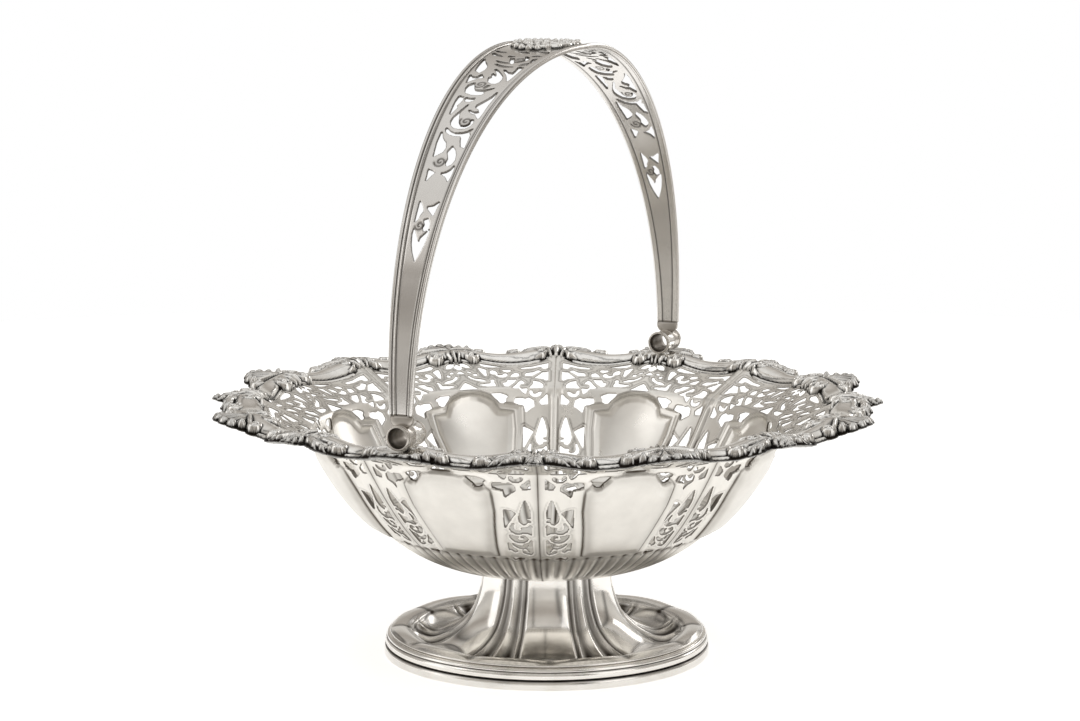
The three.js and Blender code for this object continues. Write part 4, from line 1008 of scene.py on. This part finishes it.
# %% Eight castings
HINGE_CASTINGS = (0, 4)
_, _, frame_z = border_frame(grid_x, grid_y)
room = (112.9 + 1.1 * smoothstep(from_shell, 5.8, 8.5) + 5 * smoothstep(from_shell, 21, 26)
        + 5 * (1 - smoothstep(grid_y, -3.5, -1.5)) + 0.5 * smoothstep(grid_y, 16.5, 19.0))
border_uv, border_faces, _ = cut_grid(grid_x, grid_y, inside)
radius, angle, height = border_frame(border_uv[:, 0], border_uv[:, 1])
from_outline = on_grid(inside, grid_x, grid_y, border_uv)
bottom = polar(radius, angle, height - 0.5 - 0.6 * smoothstep(from_outline, 0, 2.2))
for lobe in range(LOBES):
    own = np.maximum(np.minimum(relief, room - frame_z), 0.3) if lobe in HINGE_CASTINGS else relief
    top = polar(radius, angle, height + on_grid(own, grid_x, grid_y, border_uv))
    # Tarnish and painted shade in the recesses, and painted shade over the outer part of the casting, 9.5 to 14 mm
    # out.
    top_tarnish_and_shade = np.clip(recess_tarnish_and_shade(own) + 0.25 * smoothstep(grid_y, 9.5, 14), 0, 1)
    # The underside is painted dark, 0.6, as shade, which also darkens the walls round the outline.
    points, faces, shade, walls = sheet_solid(border_faces, top, bottom, on_grid(top_tarnish_and_shade, grid_x, grid_y, border_uv),
                                              np.full(len(border_uv), 0.6))
    make_piece(f"cast_border_{lobe + 1}", (turn_about_z(points, lobe * LOBE_ANGLE), faces, shade),
               cast_silver, "basket", [f"border_section_{lobe + 1}"], flat_faces=walls)

# %% [markdown]
# ## The hinges
# At each end of the handle's line a drawn tube is the hinge's pin. It sits in a ring that stands on the border on a
# small lug. A second ring, soldered under the handle's foot with a rounded saddle between, turns on it. The tube's
# ends are spread into flanges that keep both rings on, and its bore stays open. Each round part could be a cylinder
# with bevels; a profile carried round the hinge's own line also gives the flanges' rolled edges and the rings' beads.

# %% Round parts about the hinge line
def about_hinge(profile, side, shade=0.0, columns=72):
    """A closed profile of (distance from the basket's axis along Y, radius) carried round the hinge line: a point
    goes to (r sin a, y, hinge + r cos a)."""
    turn = np.arange(columns) * 2 * np.pi / columns
    along_y, r = profile[:, 0][:, None], profile[:, 1][:, None]
    points = np.stack(np.broadcast_arrays(r * np.sin(turn), side * along_y, HINGE_Z + r * np.cos(turn)), -1)
    dark = np.broadcast_to(shade, len(profile))
    return points.reshape(-1, 3), round_faces(len(profile), columns), np.repeat(dark, columns)


PIN_PROFILE = [(126.1, 4.35), (126.05, 4.7), (126.25, 5.1), (126.9, 5.22), (127.4, 5.0), (127.65, 4.2), (127.8, 3.85),
               (132, 3.8), (137, 3.8), (140.3, 3.85), (140.5, 4.3), (140.7, 5.0), (141.2, 5.22), (141.85, 5.1),
               (142.05, 4.7), (142.0, 4.35), (141.2, 4.0), (139, 3.55), (134, 3.4), (129, 3.55), (126.9, 4.0)]
pin_line = smooth_line(PIN_PROFILE, 84, closed=True)
from_middle = np.abs(pin_line[:, 0] - HINGE_RADIUS)
in_bore = np.interp(from_middle, [0, 5, 7.2, 8], [3.65, 3.7, 4.08, 4.4]) > pin_line[:, 1]
pin_dark = in_bore * (0.8 - 0.6 * smoothstep(from_middle, 2, 7.6))


def ring_profile(start, end):
    """A ring's section: a plain bore, square ends with rounded corners, and a faint waist between two edge beads.
    Each corner has close points, so that the smooth curve through them doesn't swing out towards the next ring."""
    half = [(0.4, 4.15), (0.08, 4.22), (0, 4.45), (0, 4.75), (0.1, 4.97), (0.35, 5.05), (0.9, 4.95)]
    middle = (start + end) / 2
    points = ([(middle - 1, 4.15)] + [(start + y, r) for y, r in half] + [(middle, 4.8)]
              + [(end - y, r) for y, r in half[::-1]] + [(middle + 1, 4.15)])
    return smooth_line(points, 84, closed=True)


def box_tube(stations, side, shade):
    """A closed body through level rounded rectangles, one at each station (y, z, half width, half depth):
    |cos|^0.6 and |sin|^0.6 in place of a circle's cos and sin."""
    turn = np.arange(32) * 2 * np.pi / 32
    c, s = np.cos(turn), np.sin(turn)
    round_c, round_s = np.sign(c) * np.abs(c) ** 0.6, np.sign(s) * np.abs(s) ** 0.6
    y, z, half_width, half_depth = (column[:, None] for column in np.asarray(stations, float).T)
    x = half_width * round_c
    return closed_tube(np.stack([x, side * (y + half_depth * round_s), np.broadcast_to(z, x.shape)], -1), shade)


print("the tube is", np.ptp(pin_line[:, 0]).round(1), "mm long, a flange's radius", pin_line[:, 1].max().round(2))

# %% Tubes, lugs and knuckles on both sides
LUG_FOOT = [(131.4, 111.6, 4.6, 2.9), (131.4, 112.4, 4.0, 2.8), (131.3, 113.2, 2.9, 2.7), (131.2, 114.0, 2.4, 2.7)]
SADDLE = [(KNUCKLE_MIDDLE, z, wide, deep) for z, wide, deep in
          ((122.6, 3.3, 1.5), (123.2, 4.2, 1.6), (124.4, 5.0, 1.6), (125.8, 5.1, 1.45), (126.9, 5.0, 1.1))]
# The lug's foot and the saddle are a little darker all over.
LUG_AND_SADDLE_DARKNESS = 0.3
for name, side in SIDES.items():
    make_piece(f"hinge_tube_{name}", about_hinge(pin_line, side, pin_dark), tube_silver, "basket",
               [f"hinge_pin_{name}"])
    lug_ring = about_hinge(ring_profile(127.95, 134.45), side)
    make_piece(f"hinge_lug_leaf_{name}", join([lug_ring, box_tube(LUG_FOOT, side, LUG_AND_SADDLE_DARKNESS)]), cast_silver,
               "basket", [f"hinge_lug_{name}"])
    knuckle_ring = about_hinge(ring_profile(134.75, 140.15), side)
    saddle = box_tube(SADDLE, side, LUG_AND_SADDLE_DARKNESS)
    make_piece(f"knuckle_and_saddle_{name}", join([knuckle_ring, saddle]), tube_silver, "handle",
               [f"handle_knuckle_{name}"])

# %% [markdown]
# ## The handle
# A strip of rolled silver is bent to a bow that stands upright at its feet and is nearly flat on top. It widens
# towards the crown. Below, its plain panel lies between moulded edges; above that it is pierced with scrolls, leaves
# and a blank oval. The strip could be drawn flat and bent by a Curve modifier. Here it is a sheet over two
# parameters, the distance from a foot and the place across, so the same cutting as for the bowl gives its openings.
# Its line is a superellipse, which is a little squarer than an ellipse: (y / a)^2.1 + (z / b)^2.1 = 1.

# %% The bow's line
BOW_SQUARENESS = 2.1
t = np.linspace(0, np.pi / 2, 4001)
bow_line = np.stack([KNUCKLE_MIDDLE * np.maximum(np.cos(t), 0) ** (2 / BOW_SQUARENESS),
                     BOW_START_Z + (BOW_TOP_Z - BOW_START_Z) * np.sin(t) ** (2 / BOW_SQUARENESS)], -1)
BOW_HALF_LENGTH = float(along(bow_line)[-1])
bow_l = np.linspace(0, BOW_HALF_LENGTH, 900)
bow_line = resample(bow_line, bow_l)
bow_out = line_normals(bow_line)
bow_out[0], bow_out[-1] = (1, 0), (0, 1)
FOOT_WIDTH, CROWN_WIDTH = 10.4, 38.2


def bow_half_width(l):
    """Half the strip's width at l mm from a foot: it grows with the distance to the power of 1.3."""
    return (FOOT_WIDTH + (CROWN_WIDTH - FOOT_WIDTH) * np.clip(l / BOW_HALF_LENGTH, 0, 1) ** 1.3) / 2


def bow_point(side, l, x, out):
    """The point of the bow at l mm from a foot and x mm across, out mm from the middle of the strip."""
    y = np.interp(l, bow_l, bow_line[:, 0]) + out * np.interp(l, bow_l, bow_out[:, 0])
    z = np.interp(l, bow_l, bow_line[:, 1]) + out * np.interp(l, bow_l, bow_out[:, 1])
    return np.stack([x, side * y, z], -1)


print("half of the bow:", round(BOW_HALF_LENGTH, 1), "mm; width 100 mm up:", 2 * bow_half_width(100.0).round(1))

# %% [markdown]
# The strip is drawn and sawn flat, before it is bent. Its drawing is one winding stem with leaves, not the same on
# the left and the right. Both legs have the same drawing.

# %% Openings of one leg: mm across, mm from the foot
HANDLE_OPENINGS = [
    [(0, 62.1), (1.5, 65.5), (2.6, 69), (3.2, 72), (3.6, 74.8), (2.0, 73), (0.6, 71.3), (0.2, 69.1),
     (-0.7, 69.8), (-1.3, 71.4), (-2.2, 73), (-3.2, 74.8), (-3.3, 73), (-2.7, 69), (-1.6, 65.5)],
    [(-3.6, 87), (-1.9, 84.5), (-1.4, 83), (-2.4, 81), (-2.6, 79.5), (-3.5, 78.5)],
    [(0.4, 79), (1.8, 79.6), (3, 77.6), (2.9, 75.4), (1.4, 74.6), (0.7, 75.8), (1.2, 77.4)],
    [(0.4, 84.8), (2.6, 85.3), (4.9, 87.2), (4.3, 85), (3.6, 81.6), (1.6, 83.6)],
    [(-4.5, 102.2), (-3.0, 101.7), (-1.6, 100.8), (-2.6, 99.6), (-4.0, 97.2)],
    [(1.8, 100.6), (3.6, 101.2), (5.2, 102.6), (6.1, 104.4), (6.2, 100.8), (5.6, 97.4), (4.2, 99.4)],
    [(1.8, 114.4), (0.8, 112), (1.4, 110.6), (2.2, 108.6), (1.9, 106.2), (3.0, 104.6), (4.4, 105.6),
     (5.1, 107.6), (4.7, 110), (3.5, 112.6)],
    [(-5.8, 122), (-4.3, 118.6), (-2.1, 116.4), (-1.1, 113.6), (-1.6, 111.6), (-3.0, 110.4), (-4.6, 109.2),
     (-5.0, 112), (-5.7, 117)],
    [(3.8, 120), (4.8, 121.8), (7.0, 121.4), (7.1, 114.4), (5.6, 115), (4.6, 117.6)],
    [(-4.6, 124.6), (-2.5, 122.9), (0, 121.9), (3, 122), (5.4, 122.9), (7.1, 124.5), (6, 122.2), (3.5, 120.8),
     (1, 120.5), (-2, 121.4), (-4, 123)],
    [(-0.9, 139.6), (-2.9, 134.6), (-4.1, 131.6), (-4.1, 129), (-3.3, 127), (-1.6, 125.4), (0.6, 124.8),
     (3.4, 125), (5, 126.3), (5.7, 128.2), (5.2, 130.1), (4.5, 130.1), (4.9, 128.4), (4.1, 126.9), (2.5, 126.1),
     (0.4, 126.4), (-0.9, 128), (-1.7, 130.6), (-2.7, 134)],
    [(-7.4, 145.8), (-5.5, 145.3), (-5.0, 142.7), (-5.3, 140.9), (-6, 139), (-5.2, 137.4), (-6.4, 133.4),
     (-7.0, 138), (-7.5, 142.6)],
    [(-4.1, 144.7), (-1.5, 144.2), (0, 144.5), (-0.1, 142.8), (-1.3, 142.1), (-2.9, 142.3), (-3.5, 143.4)],
    [(8.2, 149.3), (7.3, 146), (5.2, 142.6), (3.4, 140.1), (3.2, 138.8), (3.9, 137.9), (5, 137.5), (5.9, 136.3),
     (5.5, 135.3), (3.6, 134.9), (1, 136.1), (3.6, 134.2), (5.0, 134.0), (6, 132.5), (7.1, 131.3), (7.5, 134.5),
     (7.9, 140.5), (8.3, 145)],
    [(-5.3, 156.6), (-6.9, 154.9), (-7.1, 152.5), (-6.4, 150.2), (-5.3, 148.5), (-2.8, 147.4), (0, 147.2),
     (1.8, 147.5), (2.2, 148.4), (1.4, 149.4), (3, 150.5), (5.4, 152.4), (3, 151.3), (0.4, 150.6), (-1.9, 150.7),
     (-3.5, 151.4), (-4.2, 153.2), (-4.9, 154.5)],
    [(1.3, 152.3), (2.5, 154.7), (1.6, 154.8), (0.7, 152.8)],
    [(-1.9, 170.2), (-0.2, 169), (1.5, 167), (3.4, 164.6), (4.6, 162.5), (5.3, 160), (5.2, 158), (4.2, 156.7),
     (2.6, 156.7), (0.8, 158), (-0.2, 159.8), (-0.9, 162.3), (0, 163.4), (-0.9, 165.6), (0.3, 164.2),
     (1.2, 165.2), (0.6, 167), (-0.8, 168.8)],
    [(-10.2, 163.6), (-9.4, 162.3), (-6.5, 161.9), (-5.5, 164.4), (-4.9, 163), (-3.5, 161.3), (-5.2, 160.9),
     (-7, 159.5), (-8.2, 158), (-8.9, 156.8), (-9.4, 159.5), (-10, 162)],
    [(2.5, 169.8), (5, 167.5), (7.6, 166.8), (7.9, 169.5), (7.6, 173.6), (9.6, 172.6), (9.6, 168), (9.1, 162),
     (8.7, 159.2), (7.6, 161.4), (6.2, 164.6), (4.6, 166.6)],
    [(-12.4, 182.3), (-11.2, 179.5), (-8.5, 175.5), (-6.8, 172), (-6.5, 169), (-7.4, 166.4), (-8.6, 167.4),
     (-9.6, 168), (-10.6, 171), (-11.5, 176)],
    [(-4.4, 176.2), (-1.8, 173.6), (1.4, 172.5), (4.6, 173.2), (1.6, 173.7), (-1.4, 174.5)],
    [(-6, 180.4), (-3.4, 178), (-0.4, 177.2), (1.2, 177.6), (-0.6, 178.3), (-3, 179)],
    [(-0.9, 184.4), (0.4, 180.6), (2.6, 177), (2.9, 177.8), (1.3, 181), (0.2, 184.6)],
    [(4.5, 187.5), (6.4, 186), (7.3, 183.4), (6.7, 180.6), (4.9, 179), (2.2, 179), (4.6, 179.9), (6, 181.4),
     (6.2, 183.6), (5.4, 185.8)],
    [(-12.9, 192.4), (-10.4, 190), (-8.4, 188.6), (-6, 186.2), (-8.6, 187.2), (-11, 188.6), (-12.3, 190.4)],
    [(-3.4, 188), (-1.6, 187.8), (-0.5, 186.2), (-1.6, 185.6), (-2.9, 186.2)],
    [(7, 188.8), (9, 189.3), (11, 188.4), (9.6, 187.6), (7.6, 187.6)],
    [(8, 177.4), (9.6, 178.2), (9.9, 175.4), (8.4, 174.9), (6.8, 175.6)],
    [(9.6, 184), (10.6, 184.6), (10.9, 181), (10.4, 178.6), (9.8, 181)],
    [(-13.4, 196.4), (-11.6, 195.2), (-9.2, 194.6), (-7.2, 192.6), (-9.6, 193), (-12, 194)],
    [(-2, 195.6), (0.6, 193.6), (3.4, 192.6), (2, 194.6), (0, 196.4)],
    [(7, 196), (9.4, 194.8), (11.4, 192.4), (11.8, 194.8), (10, 197)],
]
handle_openings = [opening_curve(o) for o in HANDLE_OPENINGS]
# Lines chased in the metal: the scrolls' eyes, as (centre across, centre along, radius, start, turns).
HANDLE_EYES = [(-1.0, 76.6, 2.0, 200, 1.2), (-0.8, 106.4, 2.6, 190, 1.4), (2.4, 129.0, 3.0, 150, 1.5),
               (-2.0, 155.6, 3.0, 170, 1.5), (3.2, 183.6, 2.4, 200, 1.3)]
print(len(handle_openings), "openings in each leg")

# %% [markdown]
# The grid is finest where the strip is pierced. A groove is chased beside each edge wire, spirals mark the scrolls'
# eyes, and the plain panel by each foot is sunk a quarter of a millimetre. Each is a bell or a soft step of a
# distance. The strip is 1.2 mm thick, and its edges are rounded on both faces.

# %% The strip
# As on the bowl, an opening is sawn a little wider all round than it is drawn.
PIERCED_FROM, PIERCED_TO, STRIP_EASE = 58, 200, 0.42
strip_l = np.concatenate([np.arange(0, PIERCED_FROM, 1.0), np.arange(PIERCED_FROM, PIERCED_TO, 0.55),
                          np.arange(PIERCED_TO, BOW_HALF_LENGTH - 0.4, 1.6), [BOW_HALF_LENGTH]])
strip_share, strip_length = np.meshgrid(np.linspace(-1, 1, 67), strip_l)
strip_x = strip_share * bow_half_width(strip_length)
strip_field = pierced_field(strip_x, strip_length, handle_openings) - STRIP_EASE
strip_uv, strip_faces, strip_cut = cut_grid(strip_share, strip_length, strip_field)
from_foot = strip_uv[:, 1]
half_width = bow_half_width(from_foot)
across = strip_uv[:, 0] * half_width
from_edge = half_width - np.abs(across)
eye_lines = [spiral(cx, cl, r, 0.4, start, turns) for cx, cl, r, start, turns in HANDLE_EYES]
from_eye = np.min([line_distance(across, from_foot, line, 2.0)[0] for line in eye_lines], axis=0)
groove, eye = bell(from_edge - 2.9, 0.35), bell(from_eye, 0.45)
low_panel = smoothstep(from_edge, 3.0, 3.7) * (1 - smoothstep(from_foot, 54, 62))
# The cut walls are painted dark, 0.7, as their shade; the chased groove and eyes are dark lines, and the sunk panel
# is a little darker.
strip_dark = np.clip(0.9 * groove + 0.9 * eye + 0.7 * strip_cut + 0.14 * low_panel, 0, 1)
strip_outer = 0.75 - 0.3 * groove - 0.25 * eye - 0.25 * low_panel - 0.1 * strip_cut
strip_inner = -0.45 + 0.1 * groove + 0.1 * eye + 0.1 * low_panel + 0.05 * strip_cut
round_edge = 0.35 * bell(from_edge, 0.45)
for name, side in SIDES.items():
    outer_face = bow_point(side, from_foot, across, strip_outer - round_edge)
    inner_face = bow_point(side, from_foot, across, strip_inner + round_edge)
    *surface, walls = sheet_solid(strip_faces, outer_face, inner_face, strip_dark, strip_dark)
    make_piece(f"handle_strip_{name}", surface, strip_silver, "handle", ["handle_bow"],
               flat_faces=walls)

# %% [markdown]
# Along both edges runs a moulded wire, drawn through a plate with a round and a small bead cut in it and soldered on
# the strip. A bevelled curve would turn its section about the line; here the section is laid across the strip by
# the same formula as the strip itself, so it follows the widening edge. It crosses the crown in one piece.

# %% Moulded edge wires
wire_profile = smooth_line([(0.0, -0.1), (0.0, 0.5), (0.25, 1.0), (0.75, 1.25), (1.25, 0.95), (1.5, 0.45),
                            (1.75, 0.62), (2.05, 0.68), (2.35, 0.4), (2.4, -0.1)], 26, closed=True)
wire_dark = bell(wire_profile[:, 0] - 1.5, 0.24) * (wire_profile[:, 1] > 0.2) * 0.9
wire_length = np.linspace(0, BOW_HALF_LENGTH, 190)[:, None]
for name, across_side in {"left": -1, "right": 1}.items():
    x = across_side * (bow_half_width(wire_length) - wire_profile[:, 0])
    length, out = np.broadcast_arrays(wire_length, 0.75 + wire_profile[:, 1])
    back, front = (bow_point(side, length, x, out) for side in SIDES.values())
    rings = np.concatenate([back, front[::-1][1:]])
    make_piece(f"handle_wire_{name}", closed_tube(rings, wire_dark[None, :]), strip_silver, "handle",
               [f"handle_edge_wire_{name}"])

# %% [markdown]
# ## The crest
# A cast oval of shell and scrolls is soldered on the crown. It is a relief like the border's: a small fan, ridges
# along spirals, leaves and rows of small bosses on a thin oval plate that follows the bow's curve. A quarter of it is
# worked out and mirrored both ways, since an ornament on a crown is seen from both sides.

# %% Crest relief
crest_x, crest_y = np.meshgrid(np.linspace(-14.8, 14.8, 111), np.linspace(-20.6, 20.6, 155))
oval = np.hypot(crest_x / 14.4, crest_y / 20.2)
lobed_edge = 0.05 * np.abs(np.cos(6 * np.arctan2(crest_x, crest_y)))
crest_in = (1 - lobed_edge - oval) * 13
spot = (np.abs(crest_x), np.abs(crest_y))
crest_parts = [(0.9 * smoothstep(crest_in, 0, 3), crest_in),
               fan(*spot, 0, 1.2, 0, 40, 8.0, 5, 2.2),
               ridge(*spot, spiral(6.2, 6.0, 3.2, 0.5, 200, 1.4), [0.9, 1.3, 1.3], 2.0),
               ridge(*spot, [(2.0, 17.4), (5.8, 15.0), (9.8, 11.0), (12.0, 6.0), (12.4, 1.0)],
                     [0.7, 1.3, 1.4, 1.2, 0.9], 1.9),
               ridge(*spot, spiral(9.6, 3.2, 2.4, 0.5, 60, 1.2), [0.8, 1.0, 1.0], 1.9),
               leaf(*spot, [(0, 8.0), (0, 12.0), (0, 15.4), (0, 18.6)], 1.1, 4, 3.4, 2.0),
               ridge(*spot, [(7.6, 1.6), (5.0, 2.8), (2.6, 5.6), (1.4, 9.0)], [0.6, 1.1, 1.1, 0.6], 1.8),
               ball(*spot, 0, 0, 2.4, 2.5)]
# Two rows of bosses stand on ovals, each at an angle from the crest's long axis.
for wide, deep, radius, boss_height, angles in ((12.6, 18.0, 1.5, 2.4, (0.0, 0.3, 0.62, 0.95, 1.27, 1.57)),
                                                (8.4, 12.4, 1.25, 2.6, (0.16, 0.5, 0.85, 1.2, 1.5))):
    crest_parts += [ball(*spot, wide * math.sin(a), deep * math.cos(a), radius, boss_height) for a in angles]
crest_relief = np.minimum(np.max([form[0] for form in crest_parts], axis=0), 2.6)
crest_dark = recess_tarnish_and_shade(crest_relief, near=4, near_share=3.2, wide=10, wide_share=0.8)
crest_uv, crest_faces, _ = cut_grid(crest_x, crest_y, crest_in)
lift = on_grid(crest_relief, crest_x, crest_y, crest_uv)
dark = on_grid(crest_dark, crest_x, crest_y, crest_uv)
crest_side = np.where(crest_uv[:, 1] >= 0, 1.0, -1.0)
from_foot = BOW_HALF_LENGTH - np.abs(crest_uv[:, 1])
crest_top = bow_point(crest_side, from_foot, crest_uv[:, 0], 0.95 + lift)
crest_low = bow_point(crest_side, from_foot, crest_uv[:, 0], 0.7)
# The recesses hold tarnish and painted shade; the underside is painted dark, 0.5, as shade, which also darkens the
# walls round the outline.
*surface, walls = sheet_solid(crest_faces, crest_top, crest_low, dark, np.full(len(dark), 0.5))
make_piece("handle_crest_relief", surface, cast_silver, "handle", ["handle_crest"], flat_faces=walls)

# %% [markdown]
# ## Floor, light and camera
# The basket stands on a sweep of white paper. The floor is one flat disc that glows a little, so that it comes out as
# white as the backdrop and only the basket's soft contact shadow shows.

# %% Floor
floor_material = bpy.data.materials.new("white_paper_sweep")
floor_material.use_nodes = True
paper = floor_material.node_tree.nodes["Principled BSDF"]
paper.inputs["Base Color"].default_value = to_linear("#FBFBFA")
paper.inputs["Roughness"].default_value = 0.9
paper.inputs["Specular IOR Level"].default_value = 0.0
paper.inputs["Emission Color"].default_value = to_linear("#FFFFFF")
paper.inputs["Emission Strength"].default_value = 0.52
FLOOR_RINGS, FLOOR_TURNS, FLOOR_RADIUS, FLOOR_Z = 24, 96, 1.05, -0.0003
floor_radii = np.linspace(0.0005, FLOOR_RADIUS, FLOOR_RINGS)[:, None]
floor_points = polar(floor_radii, (np.arange(FLOOR_TURNS) * 360 / FLOOR_TURNS)[None, :], FLOOR_Z)
floor_mesh = bpy.data.meshes.new("floor")
floor_mesh.from_pydata(floor_points.reshape(-1, 3).tolist(), [],
                       flip(grid_faces(FLOOR_RINGS, FLOOR_TURNS, wrap=True)).tolist())
floor_mesh.materials.append(floor_material)
floor = bpy.data.objects.new("floor", floor_mesh)
bpy.context.scene.collection.objects.link(floor)
print("the floor is", 2 * FLOOR_RADIUS, "m across")

# %% [markdown]
# Polished silver shows what stands around it, so the basket stands in a white tent, as in a photographer's studio.
# The tent isn't evenly bright: it is shaded by height, dim just below the horizon and again a third of the way up,
# and three narrow darker gaps stand in it, where its sheets meet. They draw the dark streaks in the silver.
# A photograph of a room would give such streaks too, but a few stops on two ramps can be set one by one. The camera
# itself sees plain white in place of the tent.

# %% The tent
TENT_LOWEST, TENT_STOPS = -0.3, (
    (-0.3, "#E4E2DF"), (-0.16, "#A8A39D"), (-0.03, "#BDB9B4"), (0.1, "#DAD7D2"), (0.2, "#D2CEC8"), (0.33, "#A29C95"),
    (0.47, "#BFBAB4"), (0.65, "#D6D3CF"), (0.85, "#EAE9E7"))
TENT_GAPS = ((-0.72, 0.09, "#7C7C7C"), (-0.08, 0.07, "#969696"), (0.74, 0.09, "#7A7A7A"))
world = bpy.data.worlds.new("white_tent")
world.use_nodes = True
bpy.context.scene.world = world
bpy.context.scene.view_settings.view_transform = "Standard"
background = world.node_tree.nodes["Background"]
background.inputs["Strength"].default_value = 1.0
place = add_node(world, "ShaderNodeTexCoord")
direction = add_node(world, "ShaderNodeSeparateXYZ", links={"Vector": (place, "Generated")})
height_share = add_node(world, "ShaderNodeMapRange", inputs={"From Min": TENT_LOWEST, "From Max": 1.0},
                        links={"Value": (direction, "Z")})
tent = add_node(world, "ShaderNodeValToRGB", links={"Fac": (height_share, "Result")})
for height, shade in TENT_STOPS:
    stop_at = (height - TENT_LOWEST) / (1 - TENT_LOWEST)
    stop = tent.color_ramp.elements.new(stop_at) if stop_at > 0 else tent.color_ramp.elements[0]
    stop.color = to_linear(shade)
tent.color_ramp.elements[-1].color = to_linear("#F4F3F2")
side_share = add_node(world, "ShaderNodeMapRange", inputs={"From Min": -1.0, "From Max": 1.0},
                      links={"Value": (direction, "X")})
gaps = add_node(world, "ShaderNodeValToRGB", links={"Fac": (side_share, "Result")})
gaps.color_ramp.elements[0].color = gaps.color_ramp.elements[1].color = to_linear("#F0F0F0")
for middle, reach, shade in TENT_GAPS:
    for side, tone in ((middle - reach, "#FFFFFF"), (middle, shade), (middle + reach, "#FFFFFF")):
        gaps.color_ramp.elements.new((side + 1) / 2).color = to_linear(tone)
lit = add_node(world, "ShaderNodeVectorMath", {"operation": "MULTIPLY"},
               links={0: (tent, "Color"), 1: (gaps, "Color")})
seen = add_node(world, "ShaderNodeLightPath")
backdrop = add_node(world, "ShaderNodeMix", {"data_type": "RGBA"}, {7: to_linear("#FFFFFF")},
                    {0: (seen, "Is Camera Ray"), 6: (lit, "Vector")})
world.node_tree.links.new(backdrop.outputs[2], background.inputs["Color"])
print("tent:", len(tent.color_ramp.elements), "stops by height and", len(TENT_GAPS), "gaps by side")

# %% [markdown]
# Three soft lamps add a little light from the left, the right and behind, so that forms turned away from the camera
# keep a bright outline.

# %% Lamps
LAMP_AIM = (0, 0, 0.12)


def soft_lamp(name, place, width, height, watts):
    """A large rectangular lamp at a place in metres, turned to the basket."""
    lamp = bpy.data.lights.new(name, "AREA")
    lamp.shape, lamp.size, lamp.size_y, lamp.energy = "RECTANGLE", width, height, watts
    holder = bpy.data.objects.new(name, lamp)
    holder.location = place
    holder.rotation_euler = (Vector(LAMP_AIM) - Vector(place)).to_track_quat("-Z", "Y").to_euler()
    bpy.context.scene.collection.objects.link(holder)
    print(name, width, "x", height, "m,", watts, "W")


soft_lamp("left_softbox", (-1.25, -0.85, 0.7), 0.9, 1.5, 3.5)
soft_lamp("right_softbox", (1.45, -0.4, 0.8), 0.9, 1.5, 3.5)
soft_lamp("back_strip", (0.5, 1.8, 0.75), 1.4, 0.3, 3)

# %% [markdown]
# The camera stands where the photograph was taken from: 9 degrees above the middle of the basket and 25 degrees from
# the handle's line. The ellipses of the foot and the rim give its height, and their sizes near and far give its
# lens, as a focal length in pixels of a picture 1080 wide. The two shifts put the aim where the photograph has it.

# %% Camera
AIM = Vector((0, 0, 0.130))
CAMERA_TURN, CAMERA_RISE, CAMERA_DISTANCE = math.radians(24.57), math.radians(9.18), 1.385
PICTURE_WIDTH, FOCAL_PIXELS, AIM_AT, PICTURE_MIDDLE = 1080, 3191, (546.6, 357.6), (540, 360.5)
camera_data = bpy.data.cameras.new("camera")
camera_data.sensor_width = 36.0
camera_data.lens = FOCAL_PIXELS / PICTURE_WIDTH * 36
camera_data.shift_x = (PICTURE_MIDDLE[0] - AIM_AT[0]) / PICTURE_WIDTH
camera_data.shift_y = (AIM_AT[1] - PICTURE_MIDDLE[1]) / PICTURE_WIDTH
camera_data.clip_end = 20
camera = bpy.data.objects.new("camera", camera_data)
camera.location = AIM + CAMERA_DISTANCE * Vector((
    math.cos(CAMERA_RISE) * math.sin(CAMERA_TURN), -math.cos(CAMERA_RISE) * math.cos(CAMERA_TURN),
    math.sin(CAMERA_RISE)))
camera.rotation_euler = (AIM - camera.location).to_track_quat("-Z", "Y").to_euler()
bpy.context.scene.collection.objects.link(camera)
bpy.context.scene.camera = camera
print("lens", round(camera_data.lens, 1), "mm, camera at", [round(v, 3) for v in camera.location], "m")
